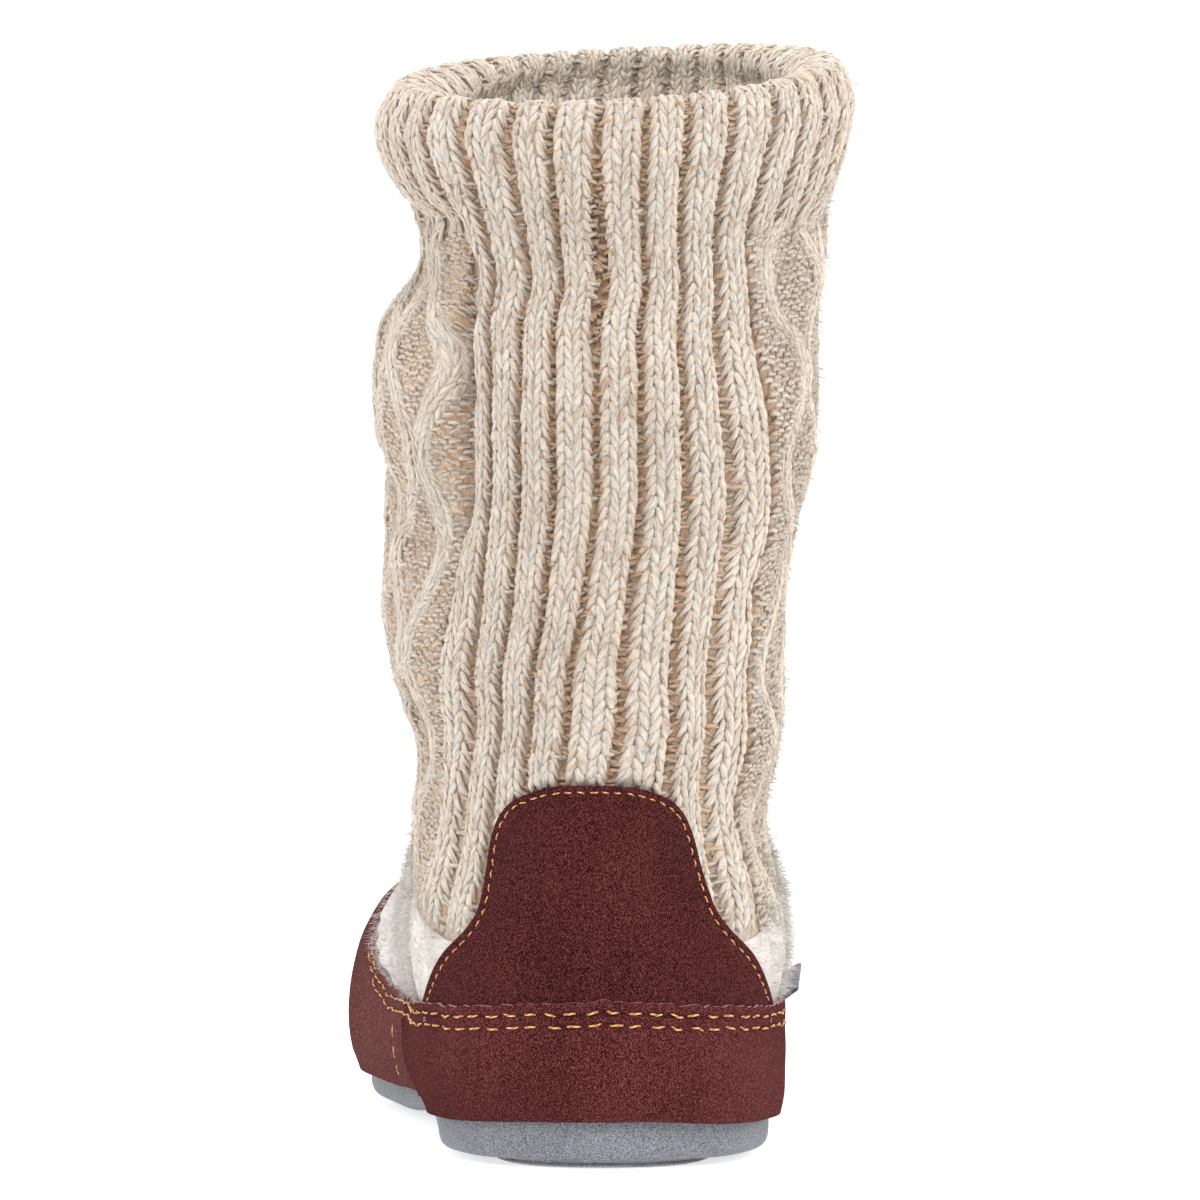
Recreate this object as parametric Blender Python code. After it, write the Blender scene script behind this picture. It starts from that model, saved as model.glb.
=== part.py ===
"""Slipper boot for the left foot: a cable-knitted shaft on a fleece foot, with suede
overlays and a moulded rubber sole.

+Z is up, the toe points to +Y and the wearer's inner side is +X.  The origin is the
middle of the heel's flat spot on the ground.  All sizes below are millimetres and
become metres where a mesh is made.

The body of the boot is one function, skin(around, level, offset).  `around` runs from
0 at the heel, along the inner side to 0.5 at the toe, and back along the outer side to
1.  `level` climbs the ring table from below the sole line to the collar.  `offset`
stands off the body along its normal.  Every soft piece is cut from that function.
"""
import math
from collections import namedtuple

import bmesh
import bpy
import numpy as np
from mathutils import Vector

MM = 0.001

# ---------------------------------------------------------------- driving sizes
LENGTH = 262.0          # body at its widest level, heel to toe
HEEL_REST = 42.0        # middle of the heel's flat spot, from the back of the heel
GAP = 0.3               # clearance between neighbouring pieces
FOOT_WALL = 3.0         # fleece foot: outer cloth, pile and lining
KNIT_WALL = 3.0         # single knitted wall of the shaft
HEM_WALL = 7.0          # the collar's double wall with the air in its fold
HEM_ROLL = 3.2          # height of the roll over the rim
SUEDE = 1.15            # overlays
SEAT = 0.75             # between the body and the overlays that lie on it
SOLE_TOP = 9.6          # rubber, ground to the seat of the upper
SOLE_FLOOR = 1.9        # underside of the rubber between its pads
SOLE_INSET = 3.8        # sole edge inside the body's widest line
SOLE_SHIFT = 0.9        # the heel of the sole sits a little to the inner side
FOOTBED = 4.5           # insole thickness
TOE_SPRING = 10.0       # rise of the toe tip
SPRING_START = 175.0    # from the heel, where the rise begins
HEEL_RISE = 1.6         # the sole's top climbs a little at the very back
HEEL_RISE_END = 25.0
ARCH_RISE = 2.4         # hollow under the arch
ARCH_MIDDLE = 103.0
ARCH_HALF = 28.0
COLLAR_ROLL = 2.2       # the collar stands higher at the inner side, lower at the outer
SIDE_SEAM = 80.0        # from the heel, where the two suede bands meet
LABEL_WIDTH = 10.0      # ribbon label, along the seam
LABEL_REACH = 6.0       # and out from it
LABEL_PLY = 1.0         # its two plies together
LABEL_TILT = 38.0       # degrees above level
SEAM_SLIT = 0.0006      # half the slit between the bands, as a share of the way round
EDGE_STEP = 0.25        # how far the bands' edge may climb between columns, in levels
SLIVER = 0.02           # least step between rows of a band, in levels
HEEL_SPREAD = 0.49      # how fast the columns leave the heel along the outline
FOOT_COLUMNS = 52       # columns round the foot and the sole
SHAFT_COLUMNS = 46      # columns round the knitted tube
PAD_COLUMNS = 36        # columns round a ground pad
HALF_STEP = 0.5         # keeps heel and toe inside a face, so a loop closes across

# ---------------------------------------------------------------- tables
# The foot's outline at its widest level: distance from the heel's back, and the reach
# to the inner and to the outer side of the heel's middle line.
Plan = namedtuple("Plan", "from_heel inner outer")
PLAN = [
    Plan(10, 25.6, 26.2),
    Plan(30, 37.2, 38.2),
    Plan(55, 39.0, 40.2),
    Plan(95, 37.4, 42.4),
    Plan(130, 40.0, 52.2),
    Plan(160, 43.1, 58.9),
    Plan(190, 43.0, 57.4),
    Plan(220, 37.8, 49.4),
    Plan(243, 27.0, 36.0),
    Plan(256, 14.0, 20.0),
]
HEEL_X = -0.5           # side shift of the heel's rearmost point
TOE_X = -3.5            # side shift of the toe's tip

# Rings of the body, bottom to top.  back and front: where the ring crosses the middle
# plane.  heel and ball: scale of the foot's outline there.  centre and half: middle and
# half width of the oval.  oval: 0 is the foot's outline, 1 the oval.  spring: how much
# of the sole's rise the ring follows.
Ring = namedtuple("Ring", "name back_y back_z front_y front_z heel ball centre half oval spring")
RINGS = [
    Ring("skirt",    2.7,   8.6, 259.3,   8.6, .956, .955, 0.0, 40.0, 0.0, 1.0),
    Ring("feather",  2.5,   9.9, 259.5,   9.9, .957, .957, 0.0, 40.0, 0.0, 1.0),
    Ring("tuck",     0.8,  14.6, 261.3,  14.6, .986, .988, 0.0, 40.0, 0.0, 1.0),
    Ring("widest",   0.0,  22.6, 262.0,  22.6, 1.00, 1.00, 0.0, 40.0, 0.0, 1.0),
    Ring("band",     0.3,  33.6, 260.4,  32.6, 1.00, .978, 0.0, 40.0, 0.0, 0.9),
    Ring("toe_box",  0.9,  45.1, 250.0,  43.6, 1.06, .908, 0.0, 40.0, 0.0, 0.5),
    Ring("toe_top",  1.6,  56.6, 228.0,  51.6, 1.04, .825, -1.5, 41.0, 0.3, 0.1),
    Ring("vamp",     2.2,  68.6, 198.0,  60.1, 1.00, .780, -2.0, 40.0, 0.75, 0.0),
    Ring("instep",   2.6,  81.6, 166.0,  71.1, 1.00, .780, -1.8, 39.1, 1.0, 0.0),
    Ring("throat",   3.4,  95.6, 140.0,  86.6, 1.00, .780, -1.2, 40.8, 1.0, 0.0),
    Ring("ankle",    3.0, 109.6, 128.0, 105.6, 1.00, .780, -2.9, 43.7, 1.0, 0.0),
    Ring("slouch",   1.5, 125.6, 124.0, 126.6, 1.00, .780, -3.1, 44.1, 1.0, 0.0),
    Ring("fold",     3.2, 143.6, 121.0, 149.6, 1.00, .780, -0.6, 46.2, 1.0, 0.0),
    Ring("bulge",   -1.0, 162.6, 120.0, 173.6, 1.00, .780, -1.0, 49.3, 1.0, 0.0),
    Ring("calf",     1.0, 177.6, 118.0, 191.6, 1.00, .780, 0.2, 48.0, 1.0, 0.0),
    Ring("neck",     4.6, 188.6, 114.0, 205.6, 1.00, .780, 4.8, 44.9, 1.0, 0.0),
    Ring("hem_seam", 4.6, 198.6, 112.0, 218.6, 1.00, .780, 4.1, 46.3, 1.0, 0.0),
    Ring("hem_low",  1.0, 209.6, 114.0, 231.1, 1.00, .780, 3.0, 50.6, 1.0, 0.0),
    Ring("hem_full", -1.0, 219.6, 116.0, 242.1, 1.00, .780, 3.4, 52.2, 1.0, 0.0),
    Ring("rim",      0.2, 226.1, 114.8, 248.6, 1.00, .780, 3.6, 51.0, 1.0, 0.0),
]
LEVEL = {ring.name: index for index, ring in enumerate(RINGS)}

# Where the knit is sewn to the foot: a plane that climbs forwards.
SEAM_BACK = 38.6
SEAM_CLIMB = 0.194

# The counter's edge: the way round from the heel's middle line, and the edge's height.
Edge = namedtuple("Edge", "way height")
COUNTER_EDGE = [
    Edge(0, 82.2), Edge(9, 82.0), Edge(15, 80.8), Edge(19, 78.6), Edge(22.5, 73.8),
    Edge(24.5, 66.6), Edge(25.6, 59.6), Edge(27.8, 54.5), Edge(31.6, 50.3),
    Edge(40, 46.4), Edge(47, 41.8), Edge(53, 37.6),
]

# The suede bands' top edge: distance from the heel's back and height.  It climbs over
# the vamp as the edge of the toe cap.
Band = namedtuple("Band", "from_heel height")
BAND_EDGE = [
    Band(0, 36.0), Band(20, 34.8), Band(45, 33.8), Band(80, 32.6), Band(112, 32.0),
    Band(126, 35.2), Band(140, 44.6), Band(155, 57.6), Band(172, 73.6),
]


# ---------------------------------------------------------------- curves
def catmull(before, start, end, after, t):
    """A smooth step from start to end; works on numbers and on arrays."""
    return 0.5 * (2 * start + (end - before) * t
                  + (2 * before - 5 * start + 4 * end - after) * t ** 2
                  + (3 * start - before - 3 * end + after) * t ** 3)


def through(rows, place):
    """The smooth curve through rows, at place counted in rows."""
    last = len(rows) - 1
    index = min(int(max(place, 0.0)), last - 1)
    near = [rows[min(max(index + step, 0), last)] for step in (-1, 0, 1, 2)]
    return catmull(*near, place - index)


def side_of_plan(side):
    """One side of the outline from heel to toe, evenly spaced along its length."""
    points = [(HEEL_X, 0.0)]
    points += [(getattr(row, side) * (1 if side == "inner" else -1), row.from_heel) for row in PLAN]
    points.append((TOE_X, LENGTH))
    mirrored = [(2 * HEEL_X - points[1][0], points[1][1])]
    beyond = [(2 * TOE_X - points[-2][0], points[-2][1])]
    rows = np.array(mirrored + points + beyond)
    places = np.linspace(1, len(rows) - 2, 400)
    fine = np.array([through(rows, place) for place in places])
    way = np.concatenate([[0], np.cumsum(np.linalg.norm(np.diff(fine, axis=0), axis=1))])
    return way, fine


SIDES = {side: side_of_plan(side) for side in ("inner", "outer")}


def spread(half_round):
    """Share of one side's length, for a share of the half way round.  The columns stand
    upright on the heel and draw together up the vamp, as a knitted tube's do."""
    return HEEL_SPREAD * half_round + (1 - HEEL_SPREAD) * half_round ** 4


HALF_ROUNDS = np.linspace(0.0, 1.0, 401)


def unspread(share):
    return float(np.interp(share, spread(HALF_ROUNDS), HALF_ROUNDS))


def plan(around):
    """The foot's outline at its widest level."""
    around %= 1.0
    way, fine = SIDES["inner" if around <= 0.5 else "outer"]
    along = spread(2 * min(around, 1 - around)) * way[-1]
    return np.interp(along, way, fine[:, 0]), np.interp(along, way, fine[:, 1])


def round_from_heel(way, side):
    """Turns a way in millimetres from the heel's middle into `around`."""
    half = 0.5 * unspread(way / SIDES[side][0][-1])
    return half if side == "inner" else -half


def mix(a, b, t):
    return a + (b - a) * t


def smooth(low, high, value):
    t = min(max((value - low) / (high - low), 0.0), 1.0)
    return t * t * (3 - 2 * t)


def sole_rise(y):
    """Rise of the sole's top above SOLE_TOP: the toe spring and the heel's back."""
    toe = max(y - SPRING_START, 0.0) / (LENGTH - SPRING_START)
    heel = max(HEEL_RISE_END - y, 0.0) / HEEL_RISE_END
    return TOE_SPRING * toe ** 1.8 + HEEL_RISE * heel ** 2


def sole_floor(y):
    """Underside of the rubber, with the arch and the toe spring."""
    toe = max(y - SPRING_START, 0.0) / (LENGTH - SPRING_START)
    arch = min(abs(y - ARCH_MIDDLE) / ARCH_HALF, 1.0)
    return SOLE_FLOOR + TOE_SPRING * toe ** 1.8 + ARCH_RISE * 0.5 * (1 + math.cos(math.pi * arch))


# ---------------------------------------------------------------- the body
RING_VALUES = np.array([ring[1:] for ring in RINGS], dtype=float)


def body(around, level):
    """A point of the body's surface."""
    (back_y, back_z, front_y, front_z, heel, ball,
     centre, half, oval, spring) = through(RING_VALUES, level)
    foot_x, foot_y = plan(around)
    share = foot_y / LENGTH
    foot_x *= mix(heel, ball, smooth(0.25, 0.58, share))
    turn = 2 * math.pi * around
    x = mix(foot_x, centre + half * math.sin(turn), oval)
    share = mix(share, 0.5 * (1 - math.cos(turn)), oval)
    y = mix(back_y, front_y, share)
    roll = COLLAR_ROLL * math.sin(turn) * smooth(LEVEL["neck"], LEVEL["hem_full"], level)
    return Vector((x, y, mix(back_z, front_z, share) + spring * sole_rise(y) + roll))


def skin(around, level, offset=0.0):
    """A point off the body by offset along its normal."""
    point = body(around, level)
    if not offset:
        return point
    step = 0.05
    along = body(around + 0.002, level) - body(around - 0.002, level)
    top = len(RINGS) - 1
    up = body(around, min(level + step, top)) - body(around, max(level - step, 0))
    return point + along.cross(up).normalized() * offset


def level_where(around, over, low, high):
    """The level between low and high where over(point) first holds."""
    for _ in range(30):
        middle = 0.5 * (low + high)
        if over(body(around, middle)):
            high = middle
        else:
            low = middle
    return high


def over_seam(point):
    return point.z > SEAM_BACK + SEAM_CLIMB * point.y


def over_band(point):
    rows = np.array(BAND_EDGE, dtype=float)
    return point.z > np.interp(point.y, rows[:, 0], rows[:, 1])


def seam_level(around):
    return level_where(around, over_seam, LEVEL["band"], LEVEL["throat"])


def band_level(around):
    return level_where(around, over_band, LEVEL["tuck"], LEVEL["instep"])


# ---------------------------------------------------------------- meshes
def skin_loops(loops, wrap):
    """Faces between neighbouring loops; the ends meet (wrap) or are closed across."""
    mesh = bmesh.new()
    rows = [[mesh.verts.new(Vector(point) * MM) for point in loop] for loop in loops]
    size = len(rows[0])
    pairs = list(zip(rows, rows[1:]))
    if wrap:
        pairs.append((rows[-1], rows[0]))
    for low, high in pairs:
        for i in range(size):
            j = (i + 1) % size
            mesh.faces.new((low[i], low[j], high[j], high[i]))
    for row in ([] if wrap else (rows[0], rows[-1])):
        for i in range(size // 2 - 1):
            mesh.faces.new((row[i], row[i + 1], row[size - 2 - i], row[size - 1 - i]))
    bmesh.ops.triangulate(mesh, faces=mesh.faces[:])
    bmesh.ops.recalc_face_normals(mesh, faces=mesh.faces[:])
    return mesh


def add_object(name, mesh, colour, roughness):
    """One named piece with its own material, placed with the heel's rest at the origin."""
    data = bpy.data.meshes.new(name)
    mesh.to_mesh(data)
    mesh.free()
    data.shade_smooth()
    data.set_sharp_from_angle(angle=math.radians(40))
    material = bpy.data.materials.new(name)
    material.use_nodes = True
    shader = material.node_tree.nodes["Principled BSDF"]
    shader.inputs["Base Color"].default_value = (*colour, 1.0)
    shader.inputs["Roughness"].default_value = roughness
    shader.inputs["Metallic"].default_value = 0.0
    data.materials.append(material)
    piece = bpy.data.objects.new(name, data)
    piece.location = (0.0, -HEEL_REST * MM, 0.0)
    bpy.context.scene.collection.objects.link(piece)
    return piece


def even_rounds(count):
    return [i / count for i in range(count)]


def foot_rounds(first=0.0):
    """Values of `around` evenly spaced along the outline; first is in steps."""
    half = 0.5 * FOOT_COLUMNS
    arounds = []
    for i in range(FOOT_COLUMNS):
        share = (i + first) / half
        turn = 0.5 * unspread(min(share, 2 - share))
        arounds.append(turn if share <= 1 else 1 - turn)
    return arounds


# ---------------------------------------------------------------- sole and footbed
def inset_plan(around, inset):
    """The outline moved inwards, towards the foot's middle line."""
    x, y = plan(around)
    step = 0.004
    x_before, y_before = plan(around - step)
    x_after, y_after = plan(around + step)
    along = Vector((x_after - x_before, y_after - y_before)).normalized()
    return x - along.y * inset, y + along.x * inset


def sole_loop(inset, height):
    """A loop of the sole; height is 0 on its underside and 1 at its top."""
    loop = []
    for around in foot_rounds(HALF_STEP):
        x, y = inset_plan(around, inset)
        x += SOLE_SHIFT * (1 - smooth(0.25, 0.55, y / LENGTH))
        top = SOLE_TOP + sole_rise(y)
        loop.append((x, y, mix(sole_floor(y), top, height)))
    return loop


def pad(name, centre_x, centre_y, half_x, half_y):
    """A ground pad with a flat foot and a bevelled edge, joined to the sole by Boolean."""
    loops = []
    for inset, z in ((1.4, 0.0), (0.0, 1.5), (0.0, SOLE_FLOOR + 3.0)):
        loop = []
        for turn in even_rounds(PAD_COLUMNS):
            sine = math.sin(2 * math.pi * (turn + HALF_STEP / PAD_COLUMNS))
            cosine = math.cos(2 * math.pi * (turn + HALF_STEP / PAD_COLUMNS))
            loop.append((centre_x + math.copysign(abs(sine) ** 0.8, sine) * (half_x - inset),
                         centre_y - math.copysign(abs(cosine) ** 0.8, cosine) * (half_y - inset), z))
        loops.append(loop)
    cutter = add_object(name, skin_loops(loops, wrap=False), (0.3, 0.3, 0.3), 0.8)
    cutter.hide_render = True
    cutter.display_type = "WIRE"
    return cutter


def outsole():
    """Rounded lower edge, upright side wall, arch and toe spring, and two ground pads."""
    loops = [sole_loop(SOLE_INSET + 16.0, 0.0), sole_loop(SOLE_INSET + 3.6, 0.0),
             sole_loop(SOLE_INSET + 1.4, 0.09), sole_loop(SOLE_INSET + 0.3, 0.30),
             sole_loop(SOLE_INSET, 0.55), sole_loop(SOLE_INSET, 1.0),
             sole_loop(SOLE_INSET + 10.0, 1.0)]
    sole = add_object("outsole", skin_loops(loops, wrap=False), (0.30, 0.32, 0.36), 0.75)
    pads = [pad("heel_pad", 0.0, HEEL_REST, 23.0, 29.0),
            pad("forefoot_pad", -8.0, 163.0, 37.0, 31.0)]
    for cutter in pads:
        join = sole.modifiers.new(cutter.name, "BOOLEAN")
        join.operation = "UNION"
        join.solver = "EXACT"
        join.object = cutter


def footbed():
    """The insole, seated on the rubber inside the foot's wall."""
    loops = []
    for offset, lift in ((14.0, 0.0), (1.0, 0.0), (0.4, 0.6), (0.0, FOOTBED - 0.8),
                         (1.0, FOOTBED), (14.0, FOOTBED)):
        loop = []
        for around in foot_rounds(HALF_STEP):
            edge = skin(around, LEVEL["feather"])
            inward = inset_plan(around, FOOT_WALL + GAP + offset)
            outline = plan(around)
            x = edge.x + inward[0] - outline[0]
            y = edge.y + inward[1] - outline[1]
            loop.append((x, y, SOLE_TOP + sole_rise(y) + GAP + lift))
        loops.append(loop)
    add_object("footbed", skin_loops(loops, wrap=False), (0.62, 0.54, 0.46), 0.95)


# ---------------------------------------------------------------- upper and shaft
def between(low, high, steps):
    return [mix(low, high, i / steps) for i in range(steps + 1)]


def foot_levels(around):
    """The levels that the fleece foot and the bands over it share in one column."""
    low = between(LEVEL["feather"], LEVEL["band"], 5)
    return low + between(LEVEL["band"], seam_level(around) - 0.02, 5)[1:]


def upper():
    """The fleece foot: hollow, open below and at the top line."""
    arounds = foot_rounds()
    levels = list(zip(*[foot_levels(around) for around in arounds]))
    loops = []
    for offset, order in ((0.0, levels), (-FOOT_WALL, levels[::-1])):
        for row in order:
            loops.append([skin(around, level, offset) for around, level in zip(arounds, row)])
    for loop in (loops[0], loops[-1]):
        for index, point in enumerate(loop):
            loop[index] = Vector((point.x, point.y, SOLE_TOP + GAP + sole_rise(point.y)))
    add_object("upper", skin_loops(loops, wrap=True), (0.62, 0.54, 0.47), 0.95)


def shaft():
    """The knitted tube, sewn to the foot's top line, with its turned-in double hem."""
    arounds = even_rounds(SHAFT_COLUMNS)
    starts = [seam_level(around) + 0.02 for around in arounds]
    levels = [[mix(start, LEVEL["throat"], i / 4) for start in starts] for i in range(4)]
    levels += [[level] * SHAFT_COLUMNS for level in range(LEVEL["throat"], LEVEL["rim"] + 1)]

    def wall(level):
        return mix(KNIT_WALL, HEM_WALL, smooth(LEVEL["neck"], LEVEL["hem_low"], level))

    outer = [[skin(around, level) for around, level in zip(arounds, row)] for row in levels]
    inner = [[skin(around, level, -wall(level)) for around, level in zip(arounds, row)]
             for row in levels]
    roll = []
    for share, lift in ((0.2, 0.75), (0.5, 1.0), (0.8, 0.75)):
        roll.append([a.lerp(b, share) + Vector((0, 0, lift * HEM_ROLL))
                     for a, b in zip(outer[-1], inner[-1])])
    add_object("shaft", skin_loops(outer + roll + inner[::-1], wrap=True), (0.62, 0.54, 0.46), 0.95)


# ---------------------------------------------------------------- suede overlays
def overlay(name, arounds, rows, colour):
    """A strip between two offsets of the body, through each column's row of levels."""
    loops = []
    for around, levels in zip(arounds, rows):
        outside = [skin(around, level, SEAT + SUEDE) for level in levels]
        inside = [skin(around, level, SEAT) for level in reversed(levels)]
        loops.append(outside + inside)
    return add_object(name, skin_loops(loops, wrap=False), colour, 0.95)


def heel_counter():
    """The bell on the back of the heel, standing on the band's top edge."""
    rows = np.array(COUNTER_EDGE, dtype=float)
    middles = 0.5 * (rows[1:] + rows[:-1])
    ways = sorted(set(rows[:, 0]) | set(middles[:, 0]))
    arounds = [round_from_heel(way, "outer") for way in reversed(ways[1:])]
    arounds += [round_from_heel(way, "inner") for way in ways]
    heights = [np.interp(way, rows[:, 0], rows[:, 1]) for way in ways]
    heights = heights[:0:-1] + heights
    bottoms = [band_level(around) + 0.03 for around in arounds]
    tops = [level_where(around, lambda point, top=height: point.z > top,
                        LEVEL["band"], LEVEL["throat"])
            for around, height in zip(arounds, heights)]
    rows = [between(low, max(high, low + 0.05), 4) for low, high in zip(bottoms, tops)]
    overlay("heel_counter", arounds, rows, (0.10, 0.022, 0.023))


def side_seam_round(side):
    way, fine = SIDES[side]
    return round_from_heel(np.interp(SIDE_SEAM, fine[:, 1], way), side)


def finer(low, high):
    """Columns from low up to high, closer together where the edge climbs steeply."""
    climb = abs(band_level(high) - band_level(low))
    steps = 1 + min(int(climb / EDGE_STEP), 5)
    return between(low, high, steps)[:-1]


def foxing(name, start, end):
    """A suede band between two ways round, up to its edge, on the foot's own levels."""
    start, end = start + SEAM_SLIT, end - SEAM_SLIT
    inside = [around - 1 for around in foot_rounds()] + foot_rounds()
    arounds = [start] + [around for around in inside if start < around < end] + [end]
    arounds = [around for low, high in zip(arounds, arounds[1:]) for around in finer(low, high)]
    arounds.append(end)
    rows = []
    for around in arounds:
        top = band_level(around)
        levels = [LEVEL["skirt"]] + foot_levels(around) + [LEVEL["throat"]]
        count = len(levels)
        rows.append([min(level, top - SLIVER * (count - 1 - i)) for i, level in enumerate(levels)])
    overlay(name, arounds, rows, (0.11, 0.028, 0.029))


# ---------------------------------------------------------------- label
def side_label():
    """A ribbon folded once and sewn in at the band's top edge, tilting up and out."""
    width, reach, ply = LABEL_WIDTH, LABEL_REACH, LABEL_PLY
    around = side_seam_round("inner")
    root = skin(around, band_level(around), SEAT + SUEDE + GAP)
    mesh = bmesh.new()
    bmesh.ops.create_cube(mesh, size=1.0)
    bmesh.ops.scale(mesh, vec=(reach, width, ply), verts=mesh.verts[:])
    bmesh.ops.translate(mesh, vec=(0.5 * reach, 0.0, 0.0), verts=mesh.verts[:])
    fold = [edge for edge in mesh.edges if all(vert.co.x > 0.9 * reach for vert in edge.verts)
            and abs(edge.verts[0].co.y - edge.verts[1].co.y) > 1.0]
    bmesh.ops.bevel(mesh, geom=fold, offset=0.45 * ply, segments=2, profile=0.5, affect="EDGES")
    bmesh.ops.triangulate(mesh, faces=mesh.faces[:])
    tilt = math.radians(-LABEL_TILT)
    for vert in mesh.verts:
        x, z = vert.co.x, vert.co.z
        turned = Vector((x * math.cos(tilt) + z * math.sin(tilt), vert.co.y,
                         z * math.cos(tilt) - x * math.sin(tilt)))
        vert.co = (root + Vector((0.5 * ply, 0.0, 0.0)) + turned) * MM
    bmesh.ops.recalc_face_normals(mesh, faces=mesh.faces[:])
    add_object("side_label", mesh, (0.25, 0.24, 0.24), 0.8)


def main():
    for item in list(bpy.data.objects):
        bpy.data.objects.remove(item, do_unlink=True)
    outsole()
    footbed()
    upper()
    shaft()
    heel_counter()
    outer, inner = side_seam_round("outer"), side_seam_round("inner")
    foxing("foxing_back", outer, inner)
    foxing("foxing_front", inner, 1.0 + outer)
    side_label()


main()
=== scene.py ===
# %% [markdown]
# # A knitted slipper boot
# The boot is a cable-knitted wool shaft on a fleece foot, with suede overlays and a
# moulded rubber sole.  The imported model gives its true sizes.  Everything here is built
# around it, in the same frame: the toe points to +Y, +Z is up, the ground is z = 0.

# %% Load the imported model
import math

import bmesh
import bpy
import numpy as np
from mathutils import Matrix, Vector


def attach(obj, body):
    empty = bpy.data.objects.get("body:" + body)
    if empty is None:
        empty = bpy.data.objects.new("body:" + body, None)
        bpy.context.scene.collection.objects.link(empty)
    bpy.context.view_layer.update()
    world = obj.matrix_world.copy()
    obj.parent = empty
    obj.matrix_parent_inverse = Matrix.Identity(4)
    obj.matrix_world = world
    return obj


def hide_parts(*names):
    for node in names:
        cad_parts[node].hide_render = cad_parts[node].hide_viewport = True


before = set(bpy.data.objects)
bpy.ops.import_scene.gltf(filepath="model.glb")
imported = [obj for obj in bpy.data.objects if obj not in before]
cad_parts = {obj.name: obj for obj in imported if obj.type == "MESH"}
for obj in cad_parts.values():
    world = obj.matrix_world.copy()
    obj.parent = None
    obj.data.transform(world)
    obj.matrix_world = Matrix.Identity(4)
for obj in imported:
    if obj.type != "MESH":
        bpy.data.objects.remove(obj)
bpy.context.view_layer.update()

MM = 0.001
HEEL_REST = 42.0        # the frame's origin, from the back of the heel
print("nodes:", sorted(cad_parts))

# %% [markdown]
# ## The body of the boot
# A shoe is easiest to shape as a stack of rings.  Each ring is an outline seen from
# above: near the ground it is the foot's outline, and up the shaft it turns into an
# oval.  One function then gives any point of the boot from how far round it lies and
# how high, and every soft piece is cut from that one function, so they all fit.

# %% Outline and rings
LENGTH = 262.0
HEEL_X, TOE_X = -0.5, -3.5
HEEL_SPREAD = 0.49
COLLAR_ROLL = 2.2
TOE_SPRING, SPRING_START = 10.0, 175.0
HEEL_RISE, HEEL_RISE_END = 1.6, 25.0

# distance from the heel's back, reach to the inner side, reach to the outer side
PLAN = np.array([(10, 25.6, 26.2), (30, 37.2, 38.2), (55, 39.0, 40.2), (95, 37.4, 43.6),
                 (130, 40.0, 52.2), (160, 43.1, 58.9), (190, 43.0, 57.4), (220, 37.8, 49.4),
                 (243, 27.0, 36.0), (256, 14.0, 20.0)])

# back y and z, front y and z, heel and ball scale, centre, half width, oval, spring
RINGS = {
    "skirt":    (2.7,   8.6, 259.3,   8.6, .956, .955, 0.0, 40.0, 0.0, 1.0),
    "feather":  (2.5,   9.9, 259.5,   9.9, .957, .957, 0.0, 40.0, 0.0, 1.0),
    "tuck":     (0.8,  14.6, 261.3,  14.6, .986, .988, 0.0, 40.0, 0.0, 1.0),
    "widest":   (0.0,  22.6, 262.0,  22.6, 1.00, 1.00, 0.0, 40.0, 0.0, 1.0),
    "band":     (0.3,  33.6, 260.4,  32.6, 1.00, .978, 0.0, 40.0, 0.0, 0.9),
    "toe_box":  (0.9,  45.1, 250.0,  43.6, 1.04, .908, 0.0, 40.0, 0.0, 0.5),
    "toe_top":  (1.6,  56.6, 228.0,  51.6, 1.03, .93, -1.5, 41.0, 0.3, 0.1),
    "vamp":     (2.2,  68.6, 198.0,  60.1, 1.00, .780, -2.0, 40.0, 0.75, 0.0),
    "instep":   (2.6,  81.6, 166.0,  71.1, 1.00, .780, -1.8, 39.1, 1.0, 0.0),
    "throat":   (3.4,  95.6, 140.0,  86.6, 1.00, .780, -0.4, 39.9, 1.0, 0.0),
    "ankle":    (3.0, 109.6, 128.0, 105.6, 1.00, .780, -3.3, 42.9, 1.0, 0.0),
    "slouch":   (1.5, 125.6, 124.0, 126.6, 1.00, .780, -3.1, 44.1, 1.0, 0.0),
    "fold":     (3.2, 143.6, 121.0, 149.6, 1.00, .780, -0.6, 46.2, 1.0, 0.0),
    "bulge":    (-1.0, 162.6, 120.0, 173.6, 1.00, .780, -0.7, 48.5, 1.0, 0.0),
    "calf":     (1.0, 177.6, 118.0, 191.6, 1.00, .780, 0.9, 46.7, 1.0, 0.0),
    "neck":     (4.6, 188.6, 114.0, 205.6, 1.00, .780, 5.1, 44.1, 1.0, 0.0),
    "hem_seam": (4.6, 198.6, 112.0, 218.6, 1.00, .780, 4.9, 45.3, 1.0, 0.0),
    "hem_low":  (1.0, 209.6, 114.0, 231.1, 1.00, .780, 3.5, 49.3, 1.0, 0.0),
    "hem_full": (-1.0, 219.6, 116.0, 242.1, 1.00, .780, 3.4, 52.2, 1.0, 0.0),
    "rim":      (0.2, 226.1, 114.8, 248.6, 1.00, .780, 4.2, 49.6, 1.0, 0.0),
}
LEVEL = {name: index for index, name in enumerate(RINGS)}
RING_ROWS = np.array(list(RINGS.values()))
print(len(RINGS), "rings")


# %% The smooth curve through a table's rows
def catmull(rows, place):
    index = np.clip(np.floor(place), 0, len(rows) - 2).astype(int)
    before, start, end, after = (rows[np.clip(index + step, 0, len(rows) - 1)]
                                 for step in (-1, 0, 1, 2))
    t = np.asarray(place - index)[..., None]
    return 0.5 * (2 * start + (end - before) * t
                  + (2 * before - 5 * start + 4 * end - after) * t ** 2
                  + (3 * start - before - 3 * end + after) * t ** 3)


def mix(a, b, t):
    return a + (b - a) * t


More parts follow.
